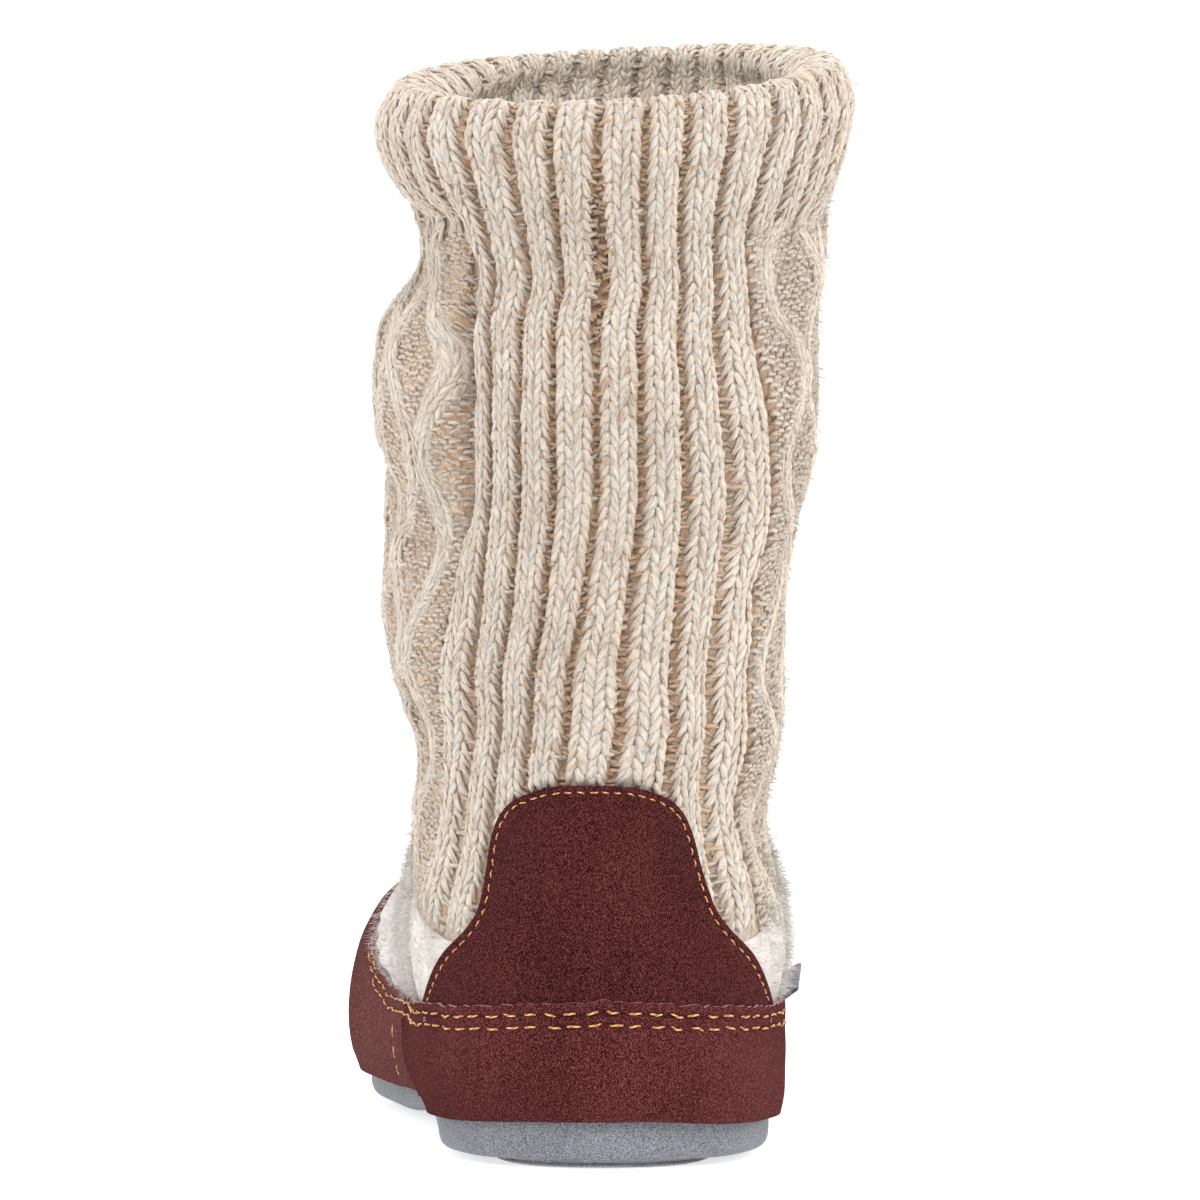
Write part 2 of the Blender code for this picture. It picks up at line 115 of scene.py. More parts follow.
def smooth(low, high, value):
    t = np.clip((value - low) / (high - low), 0.0, 1.0)
    return t * t * (3 - 2 * t)


def unit(vectors):
    return vectors / np.maximum(np.linalg.norm(vectors, axis=-1, keepdims=True), 1e-9)


def side_of_plan(sign, column):
    points = [(HEEL_X, 0.0)] + [(sign * row[column], row[0]) for row in PLAN] + [(TOE_X, LENGTH)]
    rows = np.array([(2 * HEEL_X - points[1][0], points[1][1])] + points
                    + [(2 * TOE_X - points[-2][0], points[-2][1])])
    fine = catmull(rows, np.linspace(1, len(rows) - 2, 400))
    way = np.concatenate([[0], np.cumsum(np.linalg.norm(np.diff(fine, axis=0), axis=1))])
    return way, fine


INNER, OUTER = side_of_plan(1, 1), side_of_plan(-1, 2)
HALVES = np.linspace(0.0, 1.0, 401)


def spread(half_round):
    return HEEL_SPREAD * half_round + (1 - HEEL_SPREAD) * half_round ** 4


def plan(around):
    """The foot's outline at its widest level, 0 at the heel and 0.5 at the toe."""
    around = around % 1.0
    half = spread(2 * np.minimum(around, 1 - around))
    sides = [[np.interp(half * way[-1], way, fine[:, axis]) for axis in (0, 1)]
             for way, fine in (INNER, OUTER)]
    return [np.where(around <= 0.5, *pair) for pair in zip(*sides)]


def round_from_heel(way):
    """`around` for a way in millimetres from the heel's middle, + to the inner side."""
    total = np.where(way >= 0, INNER[0][-1], OUTER[0][-1])
    return np.sign(way) * 0.5 * np.interp(np.abs(way) / total, spread(HALVES), HALVES)


def way_from_heel(around):
    """The way along the inner outline, in millimetres, for `around` on either side."""
    return spread(2 * np.minimum(around % 1.0, 1 - around % 1.0)) * INNER[0][-1]


def toe_lift(y):
    toe = np.maximum(y - SPRING_START, 0.0) / (LENGTH - SPRING_START)
    return TOE_SPRING * toe ** 1.8


def sole_rise(y):
    """How far the sole's top is lifted at the toe and at the heel's edge."""
    heel = np.maximum(HEEL_RISE_END - y, 0.0) / HEEL_RISE_END
    return toe_lift(y) + HEEL_RISE * heel ** 2


# %% [markdown]
# The rings are blended by a curve that passes through each of them, and the collar is
# tipped a little, because a soft shaft never stands quite level.  The second function
# adds a stand-off along the surface's normal, which is how cloth gets its thickness.

# %% Any point of the body
def body(around, level):
    around, level = np.broadcast_arrays(np.asarray(around, float), np.asarray(level, float))
    back_y, back_z, front_y, front_z, heel, ball, centre, half, oval, spring = np.moveaxis(
        catmull(RING_ROWS, level), -1, 0)
    foot_x, foot_y = plan(around)
    share = foot_y / LENGTH
    foot_x = foot_x * mix(heel, ball, smooth(0.25, 0.58, share))
    turn = 2 * math.pi * around
    x = mix(foot_x, centre + half * np.sin(turn), oval)
    share = mix(share, 0.5 * (1 - np.cos(turn)), oval)
    y = mix(back_y, front_y, share)
    roll = COLLAR_ROLL * np.sin(turn) * smooth(LEVEL["neck"], LEVEL["hem_full"], level)
    return np.stack([x, y, mix(back_z, front_z, share) + spring * sole_rise(y) + roll], -1)


def skin_normal(around, level):
    along = body(around + 0.002, level) - body(around - 0.002, level)
    rising = body(around, level + 0.05) - body(around, level - 0.05)
    return unit(np.cross(along, rising))


def skin(around, level, offset=0.0):
    around, level = np.broadcast_arrays(np.asarray(around, float), np.asarray(level, float))
    return body(around, level) + skin_normal(around, level) * np.asarray(offset)[..., None]


def level_where(around, over, low, high):
    """The level at which over(point) turns true, by halving."""
    low, high = np.full(np.shape(around), float(low)), np.full(np.shape(around), float(high))
    for _ in range(26):
        middle = 0.5 * (low + high)
        above = over(body(around, middle))
        low, high = np.where(above, low, middle), np.where(above, middle, high)
    return high


# distance from the heel's back, height of the sewn edge
KNIT_LINE = np.array([(0, 42.5), (20, 46.5), (40, 51.0), (62, 56.0),
                      (82, 60.5), (105, 64.5), (140, 69.5), (172, 74.0)])


def knit_edge(point):
    """Height over the line where the knit is sewn to the foot."""
    return point[..., 2] - np.interp(point[..., 1], KNIT_LINE[:, 0], KNIT_LINE[:, 1])


print("collar height", round(float(body(0.5, LEVEL["rim"])[2]), 1), "mm")

# %% [markdown]
# ## The knitted tube as a map
# A knitted tube is worked in rounds, so a stitch is found by two numbers: which rib it
# is in, and which row.  The map below stores where each row lies on every side of the
# shaft: up the outside, over the rim, and down the inside of the turned-in hem.

# %% Rows up, over the rim and down inside
AROUNDS = 360           # steps round the map
ROWS = 80               # rows of knitting from the sewn edge to the rim
ROLL_ROWS = 4           # rows over the rim
HALF_ROWS = 2           # map steps to a row
KNIT_WALL = 3.0
HEM_WALL = 7.0          # the two layers of the hem with the air between them
HEM_SIDES = 5.0         # and how much fuller it is at the two sides
HEM_THIN = 3.0          # how much thinner it is at the middle of the front
HEM_ROLL = 2.3          # the rim rises this far between its two layers


def fuller_side(around):
    """0 at the back and front, 1 at the two sides."""
    return np.sin(2 * math.pi * around) ** 2


def wall(level, around):
    front = np.exp(-((around - 0.5) / 0.13) ** 2)
    hem = HEM_WALL + HEM_SIDES * fuller_side(around) - HEM_THIN * front
    return mix(KNIT_WALL, hem, smooth(LEVEL["neck"], LEVEL["hem_low"], level))


def evenly(points, values, count):
    """values resampled at equal steps along the line through points, column by column."""
    steps = np.linalg.norm(np.diff(points, axis=0), axis=-1)
    way = np.concatenate([np.zeros((1, steps.shape[1])), np.cumsum(steps, 0)])
    return np.array([np.interp(np.linspace(0, way[-1, i], count), way[:, i], values[:, i])
                     for i in range(way.shape[1])]).T


around_steps = np.linspace(0, 1, AROUNDS + 1)
edge_level = level_where(around_steps, lambda point: knit_edge(point) > 0,
                         LEVEL["band"], LEVEL["throat"])
fine_levels = mix(edge_level, float(LEVEL["rim"]), np.linspace(0, 1, 300)[:, None])
outer_levels = evenly(body(around_steps, fine_levels), fine_levels, ROWS * HALF_ROWS + 1)
inner_levels = outer_levels[::-1][:ROWS * HALF_ROWS + 1]
turning = np.linspace(0, math.pi, ROLL_ROWS * HALF_ROWS + 1)[1:-1]

rim_point, rim_normal = body(around_steps, LEVEL["rim"]), skin_normal(around_steps, LEVEL["rim"])
rim_wall = wall(LEVEL["rim"], around_steps)[:, None]
map_points = [skin(around_steps, row) for row in outer_levels]
map_normals = [skin_normal(around_steps, row) for row in outer_levels]
up = np.array([0, 0, 1.0])
for angle in turning:
    map_points.append(rim_point - rim_normal * rim_wall * 0.5 * (1 - math.cos(angle))
                      + up * HEM_ROLL * rim_wall / HEM_WALL * math.sin(angle))
    map_normals.append(unit(rim_normal * math.cos(angle) + up * math.sin(angle)))
map_points += [skin(around_steps, row, -wall(row, around_steps)) for row in inner_levels]
map_normals += [-skin_normal(around_steps, row) for row in inner_levels]
map_points, map_normals = np.array(map_points), np.array(map_normals)
map_levels = np.concatenate([outer_levels, np.full((len(turning), AROUNDS + 1), float(LEVEL["rim"])),
                             inner_levels])
LAST_ROW = (len(map_points) - 1) / HALF_ROWS
HEM_ROW = float(np.mean([np.interp(LEVEL["hem_seam"], outer_levels[:, i],
                                   np.arange(len(outer_levels)) / HALF_ROWS)
                         for i in range(AROUNDS)]))
print("map", map_points.shape, "hem sewn at row", round(HEM_ROW, 1))

# %% [markdown]
# ## The soft folds
# The shaft is empty and slouches a little.  Each fold is a short trough or ridge with a
# soft profile: where it starts and ends, as a share of the way round and a row, how
# wide it is and how deep.  They bend the map itself, so every stitch follows them.

# %% Folds, listed one by one
# from (around, row) to (around, row), half width in mm, height in mm
FOLDS = [
    (-.136, 66, -.118, 60, 2.4, -2.6),   # beside the outer cable panel
    (-.116, 60, -.098, 53, 2.8, -4.6),
    (-.098, 52, -.104, 41, 2.6, -3.6),
    (-.130, 58, -.114, 47, 4.0, 1.4),    # the panel's edge rolls over it
    (-.135, 60, -.150, 47, 7.5, 1.6),    # the panel swells beside it
    (-.260, 45, -.150, 38, 5.0, -2.0),   # and sinks below the swelling
    (-.300, 56, -.190, 54, 8.0, 1.2),
    (-.240, 24, -.170, 12, 6.0, -1.2),
    (.200, 62, .150, 50, 7.0, 1.2),
    (.260, 40, .150, 33, 6.0, -1.4),
    (.290, 22, .170, 20, 7.0, 1.0),
    (.230, 8, .150, 13, 6.0, -1.3),
    (-.140, 69, -.240, 67.5, 3.0, -2.4),  # where the hem is sewn down at each side
    (-.140, 74, -.250, 74, 7.0, 1.0),
    (.120, 66, .240, 67.5, 3.6, -1.4),
    (.100, 72, .250, 73, 7.0, 0.8),
    (.420, 12, .580, 12, 6.0, -2.4),     # across the ankle at the front
    (.400, 22, .600, 24, 7.0, 1.6),
    (.400, 34, .600, 33, 7.0, -1.6),
]
AROUND_MM, ROW_MM = 345.0, 2.36     # once round the shaft, and one row


def fold_height(around, row):
    total = np.zeros(np.broadcast(around, row).shape)
    for start, start_row, end, end_row, half_width, height in FOLDS:
        span = np.array([(end - start) * AROUND_MM, (end_row - start_row) * ROW_MM])
        x = ((around - start + 0.5) % 1 - 0.5) * AROUND_MM
        y = (row - start_row) * ROW_MM
        t = np.clip((x * span[0] + y * span[1]) / (span @ span), 0, 1)
        away = np.hypot(x - t * span[0], y - t * span[1])
        total += height * np.exp(-(away / half_width) ** 2)
    return total


row_steps = np.arange(len(map_points))[:, None] / HALF_ROWS
inside = smooth(ROWS, ROWS + ROLL_ROWS, row_steps)
mirrored_row = np.where(row_steps > ROWS + ROLL_ROWS, 2 * ROWS + ROLL_ROWS - row_steps, row_steps)
lift = fold_height(around_steps[None, :], mirrored_row) * mix(1, -1, inside)
map_points = map_points + map_normals * lift[..., None]
across = np.roll(map_points[:, :-1], -1, 1) - np.roll(map_points[:, :-1], 1, 1)
across = np.concatenate([across, across[:, :1]], 1)
map_normals = unit(np.cross(across, np.gradient(map_points, axis=0)))
print("folds from", lift.min().round(1), "to", lift.max().round(1), "mm")


# %% Read the map
def read(table, around, row):
    """The map's value between its steps."""
    x = (np.asarray(around) % 1.0) * AROUNDS
    y = np.clip(row, 0, LAST_ROW) * HALF_ROWS
    i = np.minimum(x.astype(int), AROUNDS - 1)
    j = np.minimum(np.asarray(y).astype(int), len(table) - 2)
    s, t = x - i, y - j
    if table.ndim == 3:
        s, t = s[..., None], t[..., None]
    below = mix(table[j, i], table[j, i + 1], s)
    above = mix(table[j + 1, i], table[j + 1, i + 1], s)
    return mix(below, above, t)


# %% [markdown]
# ## Ribs and wales
# The knit is a 2 x 1 rib: two columns of plain stitches stand up, then one purl column
# sinks between them.  On the back the ribs are pulled to one side by the wearer's heel,
# so their lines are charted: how far to the side each valley lies at several
# heights.  The other ribs share the rest of the way round evenly.

# %% The lines of the valleys
RIBS = 36
CHARTED = 8             # ribs between the charted lines
CHART_HEIGHTS = [58, 75, 90, 105, 121, 143, 164, 196, 222]
CHART_LINES = np.array([
    # 58     75     90    105    121    143    164    196    222   (mm above the ground)
    (-37.5, -36.0, -35.0, -34.3, -32.3, -27.5, -26.8, -30.0, -37.4),
    (-29.8, -29.5, -27.5, -26.0, -25.5, -23.8, -22.9, -24.2, -29.8),
    (-23.6, -23.3, -22.2, -20.7, -18.6, -17.7, -17.1, -15.8, -19.3),
    (-15.5, -15.5, -16.7, -13.9, -11.8, -10.3, -10.1, -9.0, -10.7),
    (-7.5, -7.5, -9.0, -6.6, -3.2, -0.9, -0.6, -0.6, -0.2),
    (2.0, 2.0, 3.0, 4.7, 6.4, 8.8, 8.8, 9.2, 9.9),
    (14.6, 14.6, 15.4, 16.0, 17.1, 18.2, 18.0, 16.7, 18.8),
    (22.0, 22.0, 22.4, 23.7, 25.4, 28.4, 25.7, 24.0, 28.4),
    (31.0, 31.0, 31.7, 33.0, 35.2, 38.0, 35.8, 30.4, 38.0),
])

row_numbers = np.arange(0, int(LAST_ROW) + 1)
back_heights = read(map_points, np.zeros(len(row_numbers)), row_numbers)[:, 2]
outside_row = np.where(row_numbers > ROWS + ROLL_ROWS, 2 * ROWS + ROLL_ROWS - row_numbers,
                       np.minimum(row_numbers, ROWS))
line_heights = back_heights[outside_row]
line_levels = read(map_levels, np.zeros(len(row_numbers)), outside_row)
centre, half = np.moveaxis(catmull(RING_ROWS, line_levels), -1, 0)[6:8]
lines = np.zeros((RIBS + 1, len(row_numbers)))
for rib, reach in enumerate(CHART_LINES):
    side = np.interp(line_heights, CHART_HEIGHTS, reach)
    lines[rib] = np.arcsin(np.clip((side - centre) / half, -0.95, 0.95)) / (2 * math.pi)
EVENED = 4              # rows to each side that a line is averaged over
window = np.ones(2 * EVENED + 1) / (2 * EVENED + 1)
for rib in range(CHARTED + 1):
    padded = np.concatenate([np.full(EVENED, lines[rib, 0]), lines[rib], np.full(EVENED, lines[rib, -1])])
    lines[rib] = np.convolve(padded, window, "valid")
for rib in range(CHARTED + 1, RIBS + 1):
    lines[rib] = mix(lines[CHARTED], lines[0] + 1, (rib - CHARTED) / (RIBS - CHARTED))


def around_of(rib, row):
    """The share of the way round for a place counted in ribs."""
    rib = np.asarray(rib, float)
    turns = np.floor(rib / RIBS)
    x = rib - turns * RIBS
    y = np.clip(row, 0, row_numbers[-1])
    i = np.minimum(x.astype(int), RIBS - 1)
    j = np.minimum(np.asarray(y).astype(int), len(row_numbers) - 2)
    s, t = x - i, y - j
    below = mix(lines[i, j], lines[i + 1, j], s)
    above = mix(lines[i, j + 1], lines[i + 1, j + 1], s)
    return turns + mix(below, above, t)


print("outermost lines at row 40:", lines[[0, CHARTED], 40].round(3))

# %% [markdown]
# ## The cable panels
# At both sides the ribs give way to a lattice: strands two stitches wide travel across a
# purl ground, meet, and part again, which makes a chain of diamonds.  A strand is a
# zigzag with rounded turns between two node lines.

# %% The strands' paths
NODE_ROWS = 8.9         # rows from one meeting to the next
GAPS = 6                # strands side by side in a panel
PANEL = 9.5             # ribs that a panel replaces
RIB_MM = 9.6
FIRST_LINE = 0.42       # the first node line, in ribs from the panel's edge
NODE_STEP = (PANEL - 2 * FIRST_LINE) / GAPS
# where each panel starts, which way it runs, and a row where its first strands meet
PANELS = {"outer": (0.0, -1, 64.2), "inner": (float(CHARTED), 1, 71.3)}


def swing(phase):
    """A zigzag from 0 to 1 and back, once for every two steps of phase."""
    turn = np.clip((np.abs((phase % 2) - 1) - 0.12) / 0.76, 0, 1)
    return mix(turn, 0.5 - 0.5 * np.cos(math.pi * turn), 0.55)


def strand_rib(panel, gap, row):
    """Where a strand lies, in ribs."""
    start, direction, first_node = PANELS[panel]
    phase = (first_node - row) / NODE_ROWS + (gap % 2)
    share = mix(0.13, 0.87, swing(phase))
    return start + direction * (FIRST_LINE + NODE_STEP * (gap + share))


def strand_nearness(rib, row):
    """1 on the middle of the nearest strand, 0 on the purl ground."""
    near = np.zeros(np.broadcast(rib, row).shape)
    for panel in PANELS:
        for gap in range(GAPS):
            away = (rib - strand_rib(panel, gap, row) + RIBS / 2) % RIBS - RIBS / 2
            slant = (strand_rib(panel, gap, row + 0.5) - strand_rib(panel, gap, row - 0.5)) * RIB_MM
            away = away * RIB_MM * ROW_MM / np.hypot(ROW_MM, slant)
            near = np.maximum(near, np.exp(-(away / 3.5) ** 4))
    return near


def between(start, end, rib):
    """1 from start to end, with a short slope at each."""
    return smooth(-0.05, 0.05, rib - start) * smooth(-0.05, 0.05, end - rib)


def in_panel(rib, row):
    """1 inside a cable panel, 0 in the plain ribs and above the hem's seam."""
    outer = between(-PANEL, 0.0, (rib + RIBS / 2) % RIBS - RIBS / 2)
    inner = between(CHARTED, CHARTED + PANEL, rib % RIBS)
    return np.maximum(outer, inner) * smooth(0.8, -0.8, row - HEM_ROW)


# %% [markdown]
# ## The relief of the cloth
# The ribs are flat on top and drop steeply into narrow valleys.  Under the suede counter
# the knit is pressed flat.  This relief is added to the map for everything that lies on
# the knit, so the yarn, the cloth under it and the fuzz all agree.

# %% Height over the map
RIB_TOP, VALLEY = 0.60, -1.80
GROUND, STRAND = -0.75, 0.75
FELTED = -0.9           # near the sewn edge the wool is felted flat
PRESSED = -1.6          # and under the suede counter it is pressed flatter still
VALLEY_HALF = 0.105     # half a valley, in ribs
# the way round from the heel's middle, and the height of the counter's edge there
COUNTER_EDGE = np.array([(0, 82.2), (6, 82.1), (11, 81.6), (15.5, 80.4), (19.5, 78.8), (22.2, 76.6),
                         (24.0, 73.6), (25.0, 69.0), (25.3, 64.0), (25.6, 59.5), (26.2, 55.6),
                         (27.6, 52.4), (30.2, 49.2), (34.6, 45.6), (39.6, 41.2), (44.6, 36.6),
                         (48.6, 32.6)])


def valley_half(line, row):
    """The valley on the middle line opens out below the hem."""
    middle = np.abs(line - 4) < 0.5
    return VALLEY_HALF + np.where(middle, 0.10 * np.exp(-((row - 65) / 7.0) ** 2), 0.0)


def rib_share(rib, row):
    """-1 to 1 across a rib, beyond that in its valleys."""
    index = np.floor(rib)
    low = index + valley_half(index, row)
    high = index + 1 - valley_half(index + 1, row)
    return (2 * rib - low - high) / (high - low)


def under_counter(point, around):
    """1 where the suede counter presses on the knit."""
    top = np.interp(way_from_heel(around), COUNTER_EDGE[:, 0], COUNTER_EDGE[:, 1], right=0.0)
    return smooth(1.6, -0.6, point[..., 2] - top)


def standing(row):
    """0 at the sewn edge, where the wool is felted flat, to 1 a few rows up."""
    return smooth(-1.5, 7.0, row)


def turned_in(row):
    """1 on the hem's inner layer, which is stretched flatter."""
    return smooth(ROWS, ROWS + ROLL_ROWS, row)


def in_inner_panel(rib):
    return (rib % RIBS > CHARTED) & (rib % RIBS < CHARTED + PANEL)


def ground_height(rib):
    """The outer panel's ground lies deep; the inner panel is pulled flat."""
    return np.where(in_inner_panel(rib), 0.15, 1.0) * GROUND


def strand_height(rib):
    return np.where(in_inner_panel(rib), 0.6, 1.0) * STRAND


def cable_height(rib, row):
    return mix(ground_height(rib), strand_height(rib), strand_nearness(rib, row))


def relief(rib, row):
    share = np.clip(np.abs(rib_share(rib, row)), 0, 1)
    plain = mix(RIB_TOP, VALLEY, share ** 7) * mix(1.0, 0.6, turned_in(row))
    return mix(FELTED, mix(plain, cable_height(rib, row), in_panel(rib, row)), standing(row))


def pressed(height, point, around):
    return mix(height, np.minimum(height, PRESSED), under_counter(point, around))


print("relief at rib tops", relief(np.array([4.5]), np.array([30.0])).round(2))


# %% Points and frames on the knit
def on_knit(rib, row, height=0.0, on_relief=True):
    """A point on the knit in millimetres, and the cloth's normal there."""
    around = around_of(rib, row)
    point = read(map_points, around, row)
    normal = unit(read(map_normals, around, row))
    total = np.asarray(height) + (relief(rib, row) if on_relief else 0.0)
    total = np.asarray(pressed(total, point, around))
    return point + normal * total[..., None], normal


# %% [markdown]
# ## Finishes: small helpers
# A material is a short chain of nodes.  The first helper adds one node and plugs in or
# sets each socket, by its name or by its number (i0, i1 ...).  The others name the few
# chains that every finish here uses, so the finishes below read like recipes.

# %% Node helper
def add(tree, kind, settings=None, **sockets):
    made = tree.nodes.new("ShaderNode" + kind)
    for key, value in (settings or {}).items():
        setattr(made, key, value)
    for key, value in sockets.items():
        name = key.replace("_", " ")
        socket = made.inputs[int(key[1:])] if key[0] == "i" and key[1:].isdigit() else made.inputs[name]
        if isinstance(value, bpy.types.NodeSocket):
            tree.links.new(value, socket)
        else:
            socket.default_value = value
    return made


def out(made, name=0):
    return made.outputs[name]


def new_finish(name, roughness=0.9, sheen=0.0, sheen_roughness=0.5, sheen_tint=(1, 1, 1)):
    material = bpy.data.materials.new(name)
    material.use_nodes = True
    shader = material.node_tree.nodes["Principled BSDF"]
    shader.inputs["Roughness"].default_value = roughness
    shader.inputs["Specular IOR Level"].default_value = 0.25
    shader.inputs["Sheen Weight"].default_value = sheen
    shader.inputs["Sheen Roughness"].default_value = sheen_roughness
    shader.inputs["Sheen Tint"].default_value = (*sheen_tint, 1)
    return material, material.node_tree, shader


def ramp(tree, factor, stops):
    made = add(tree, "ValToRGB", Fac=factor)
    while len(made.color_ramp.elements) < len(stops):
        made.color_ramp.elements.new(0.5)
    for element, (place, colour) in zip(made.color_ramp.elements, stops):
        element.position = place
        element.color = (*colour, 1)
    return out(made)


def maths(tree, operation, a, b=0.0, c=0.0):
    return out(add(tree, "Math", {"operation": operation}, i0=a, i1=b, i2=c))


def noise(tree, vector, scale, detail=2.0, rough=0.5):
    return out(add(tree, "TexNoise", Vector=vector, Scale=scale, Detail=detail, Roughness=rough))


def object_place(tree):
    return out(add(tree, "TexCoord"), "Object")


def yarn_map(tree):
    """The piece's own map: round the yarn and along it."""
    return out(add(tree, "UVMap", {"uv_map": "yarn"}))


def own_mark(tree, name):
    """A number that the mesh stores at each of its points."""
    return out(add(tree, "Attribute", {"attribute_name": name}), "Fac")


def stretched(tree, vector, scale):
    return out(add(tree, "Mapping", Vector=vector, Scale=scale))


def weighted(tree, first, *others):
    """The sum of several (value, weight) pairs."""
    total = maths(tree, "MULTIPLY", *first)
    for value, weight in others:
        total = maths(tree, "MULTIPLY_ADD", value, weight, total)
    return total


def bump(tree, height, strength, distance):
    return out(add(tree, "Bump", Height=height, Strength=strength, Distance=distance))


def times(tree, a, b):
    """Two colours multiplied."""
    return out(add(tree, "Mix", {"data_type": "RGBA", "blend_type": "MULTIPLY"}, i0=1.0, i6=a, i7=b), 2)


def paint(tree, shader, colour, height, strength, distance):
    """Plugs a finish's colour and its bump into the shader."""
    tree.links.new(colour, shader.inputs["Base Color"])
    tree.links.new(bump(tree, height, strength, distance), shader.inputs["Normal"])


# %% [markdown]
# ## The wool
# The yarn is a heather: pale cream fibres mixed with oatmeal and a few brown ones.  Each
# stitch carries its own tone and knows how deep it lies, which sets its painted shade and
# painted light.  Streaks that run round the yarn's twist, read from its own map, give the fibres.

# %% Wool finish
WHITE, CREAM = (.515, .475, .432), (.472, .424, .376)
OAT, TAN, BROWN = (.427, .369, .316), (.362, .280, .216), (.26, .173, .122)


def wool_finish():
    material, tree, shader = new_finish("heathered_wool", 0.93, sheen=0.25, sheen_tint=(1.0, 0.96, 0.9))
    place, yarn = object_place(tree), yarn_map(tree)
    tone, depth = own_mark(tree, "tone"), own_mark(tree, "depth")
    fibres = noise(tree, stretched(tree, yarn, (7.0, 1.1, 1.0)), 1.0, 2.0, 0.6)
    fine = noise(tree, stretched(tree, yarn, (13.0, 1.8, 1.0)), 1.0, 1.0, 0.6)
    stray = noise(tree, place, 1400.0, 2.0, 0.7)
    patches = noise(tree, place, 95.0, 3.0, 0.6)
    total = weighted(tree, (fine, 0.44), (fibres, 0.56), (stray, 0.22), (patches, 0.18), (tone, 0.07))
    heather = ramp(tree, total, [(0.53, BROWN), (0.62, TAN), (0.685, OAT), (0.765, CREAM), (0.87, WHITE)])
    # painted shade: deep down the yarn is painted darker and warm; painted light makes what stands proud,
    # and the hem's inner layer, paler
    deep = ramp(tree, depth, [(0.08, (.56, .345, .205)), (0.42, (.87, .67, .50)), (0.76, (1, 1, 1)),
                              (0.90, (1.08, 1.075, 1.065)), (1.0, (1.34, 1.31, 1.24))])
    hue = ramp(tree, tone, [(0.0, (.97, .945, .925)), (0.5, (1, .995, .985)), (1.0, (1.02, .965, .895))])
    shader.inputs["Subsurface Weight"].default_value = 0.45
    shader.inputs["Subsurface Radius"].default_value = (1.0, 0.70, 0.48)
    shader.inputs["Subsurface Scale"].default_value = 0.0014
    height = weighted(tree, (fine, 0.35), (fibres, 0.80), (stray, 0.75))
    paint(tree, shader, times(tree, times(tree, heather, deep), hue), height, 0.9, 0.0007)
    return material


wool = wool_finish()
print("finish:", wool.name)

# %% [markdown]
# ## One stitch, repeated
# A stitch leg is a short plump grain.  It is modelled once, as a sphere of a few faces,
# and each copy is bent along its own path on the knit and joined with the others of its
# kind.  A few dozen faces are enough, because there are thousands of them.

# %% The grain and its copies
def grain(sides, rings):
    """Vertices on a unit sphere along z, their path steps, faces and a map for each corner."""
    form = bmesh.new()
    bmesh.ops.create_uvsphere(form, u_segments=sides, v_segments=rings, radius=1.0)
    form.verts.index_update()
    points = np.array([vert.co[:] for vert in form.verts])
    heights, step = np.unique(points[:, 2].round(4), return_inverse=True)
    faces, corners = [], []
    # the sphere's faces come in no fixed order, so they are sorted by their vertices
    for face in sorted(form.faces, key=lambda face: sorted(vert.index for vert in face.verts)):
        middle = face.calc_center_median()
        turn = math.atan2(middle.y, middle.x) / (2 * math.pi)
        faces.append([vert.index for vert in face.verts])
        for vert in face.verts:
            own = math.atan2(vert.co.y, vert.co.x) / (2 * math.pi)
            own = turn if abs(vert.co.z) > 0.99 else turn + (own - turn + 0.5) % 1 - 0.5
            corners.append((own, 0.5 + 0.5 * vert.co.z))
    form.free()
    return points, step, (heights + 1) / 2, faces, np.array(corners)


def in_frame(points):
    """Millimetres from the heel's back, as metres in the frame."""
    return points * MM - np.array([0, HEEL_REST * MM, 0])


def link(name, data, material):
    data.materials.append(material)
    piece = bpy.data.objects.new(name, data)
    bpy.context.scene.collection.objects.link(piece)
    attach(piece, "root")
    return piece


def repeat(name, form, path, normal, wide, thick, material, tone, depth, seed):
    """Copies of a grain along paths.  path and normal: copies x steps x 3, in mm."""
    points, step, _, faces, corners = form
    copies = len(path)
    along = unit(np.gradient(path, axis=1))
    side = unit(np.cross(normal, along))
    lift = np.cross(along, side)
    plump = np.sqrt(np.maximum(1 - points[:, 2] ** 2, 1e-9))
    shape = points[:, :2] / np.maximum(plump, 1e-3)[:, None] * (plump ** 0.5)[:, None]
    wide, thick = (np.broadcast_to(np.asarray(v, float), (copies,)) for v in (wide, thick))
    verts = (path[:, step] + side[:, step] * (shape[None, :, 0] * wide[:, None])[..., None]
             + lift[:, step] * (shape[None, :, 1] * thick[:, None])[..., None])
    size = len(points)
    data = bpy.data.meshes.new(name)
    every = [[index + copy * size for index in face] for copy in range(copies) for face in faces]
    data.from_pydata(in_frame(verts.reshape(-1, 3)).tolist(), [], every)
    shift = np.random.default_rng(seed).random((copies, 1, 2)) * 40.0   # no two copies look alike
    layer = data.uv_layers.new(name="yarn")
    layer.data.foreach_set("uv", (corners[None] + shift).ravel())
    flank = mix(0.48, 1.0, smooth(-0.55, 0.60, shape[:, 1]))    # a yarn's sides lie in shade
    for key, values, share in (("tone", tone, np.ones(size)), ("depth", depth, flank)):
        holder = data.attributes.new(key, "FLOAT", "POINT")
        holder.data.foreach_set("value", (values[:, None] * share).ravel().astype(np.float32))
    data.shade_smooth()
    piece = link(name, data, material)
    print(name, copies, "grains,", sum(len(face) - 2 for face in faces) * copies, "triangles")
    return piece


# %% [markdown]
# ## Plain stitches
# Worked from the top down, every plain stitch shows as a small roof: two legs that lean
# together at the top.  A column of them looks like a plait.  The same pair of legs makes
# the ribs, the collar and the cable strands; only the path of the column differs.

# %% Two legs of a stitch
LEG = grain(5, 4)
LEG_STEPS = LEG[2]
LEG_ROWS = 2.05         # a leg reaches well past one row, under its neighbour


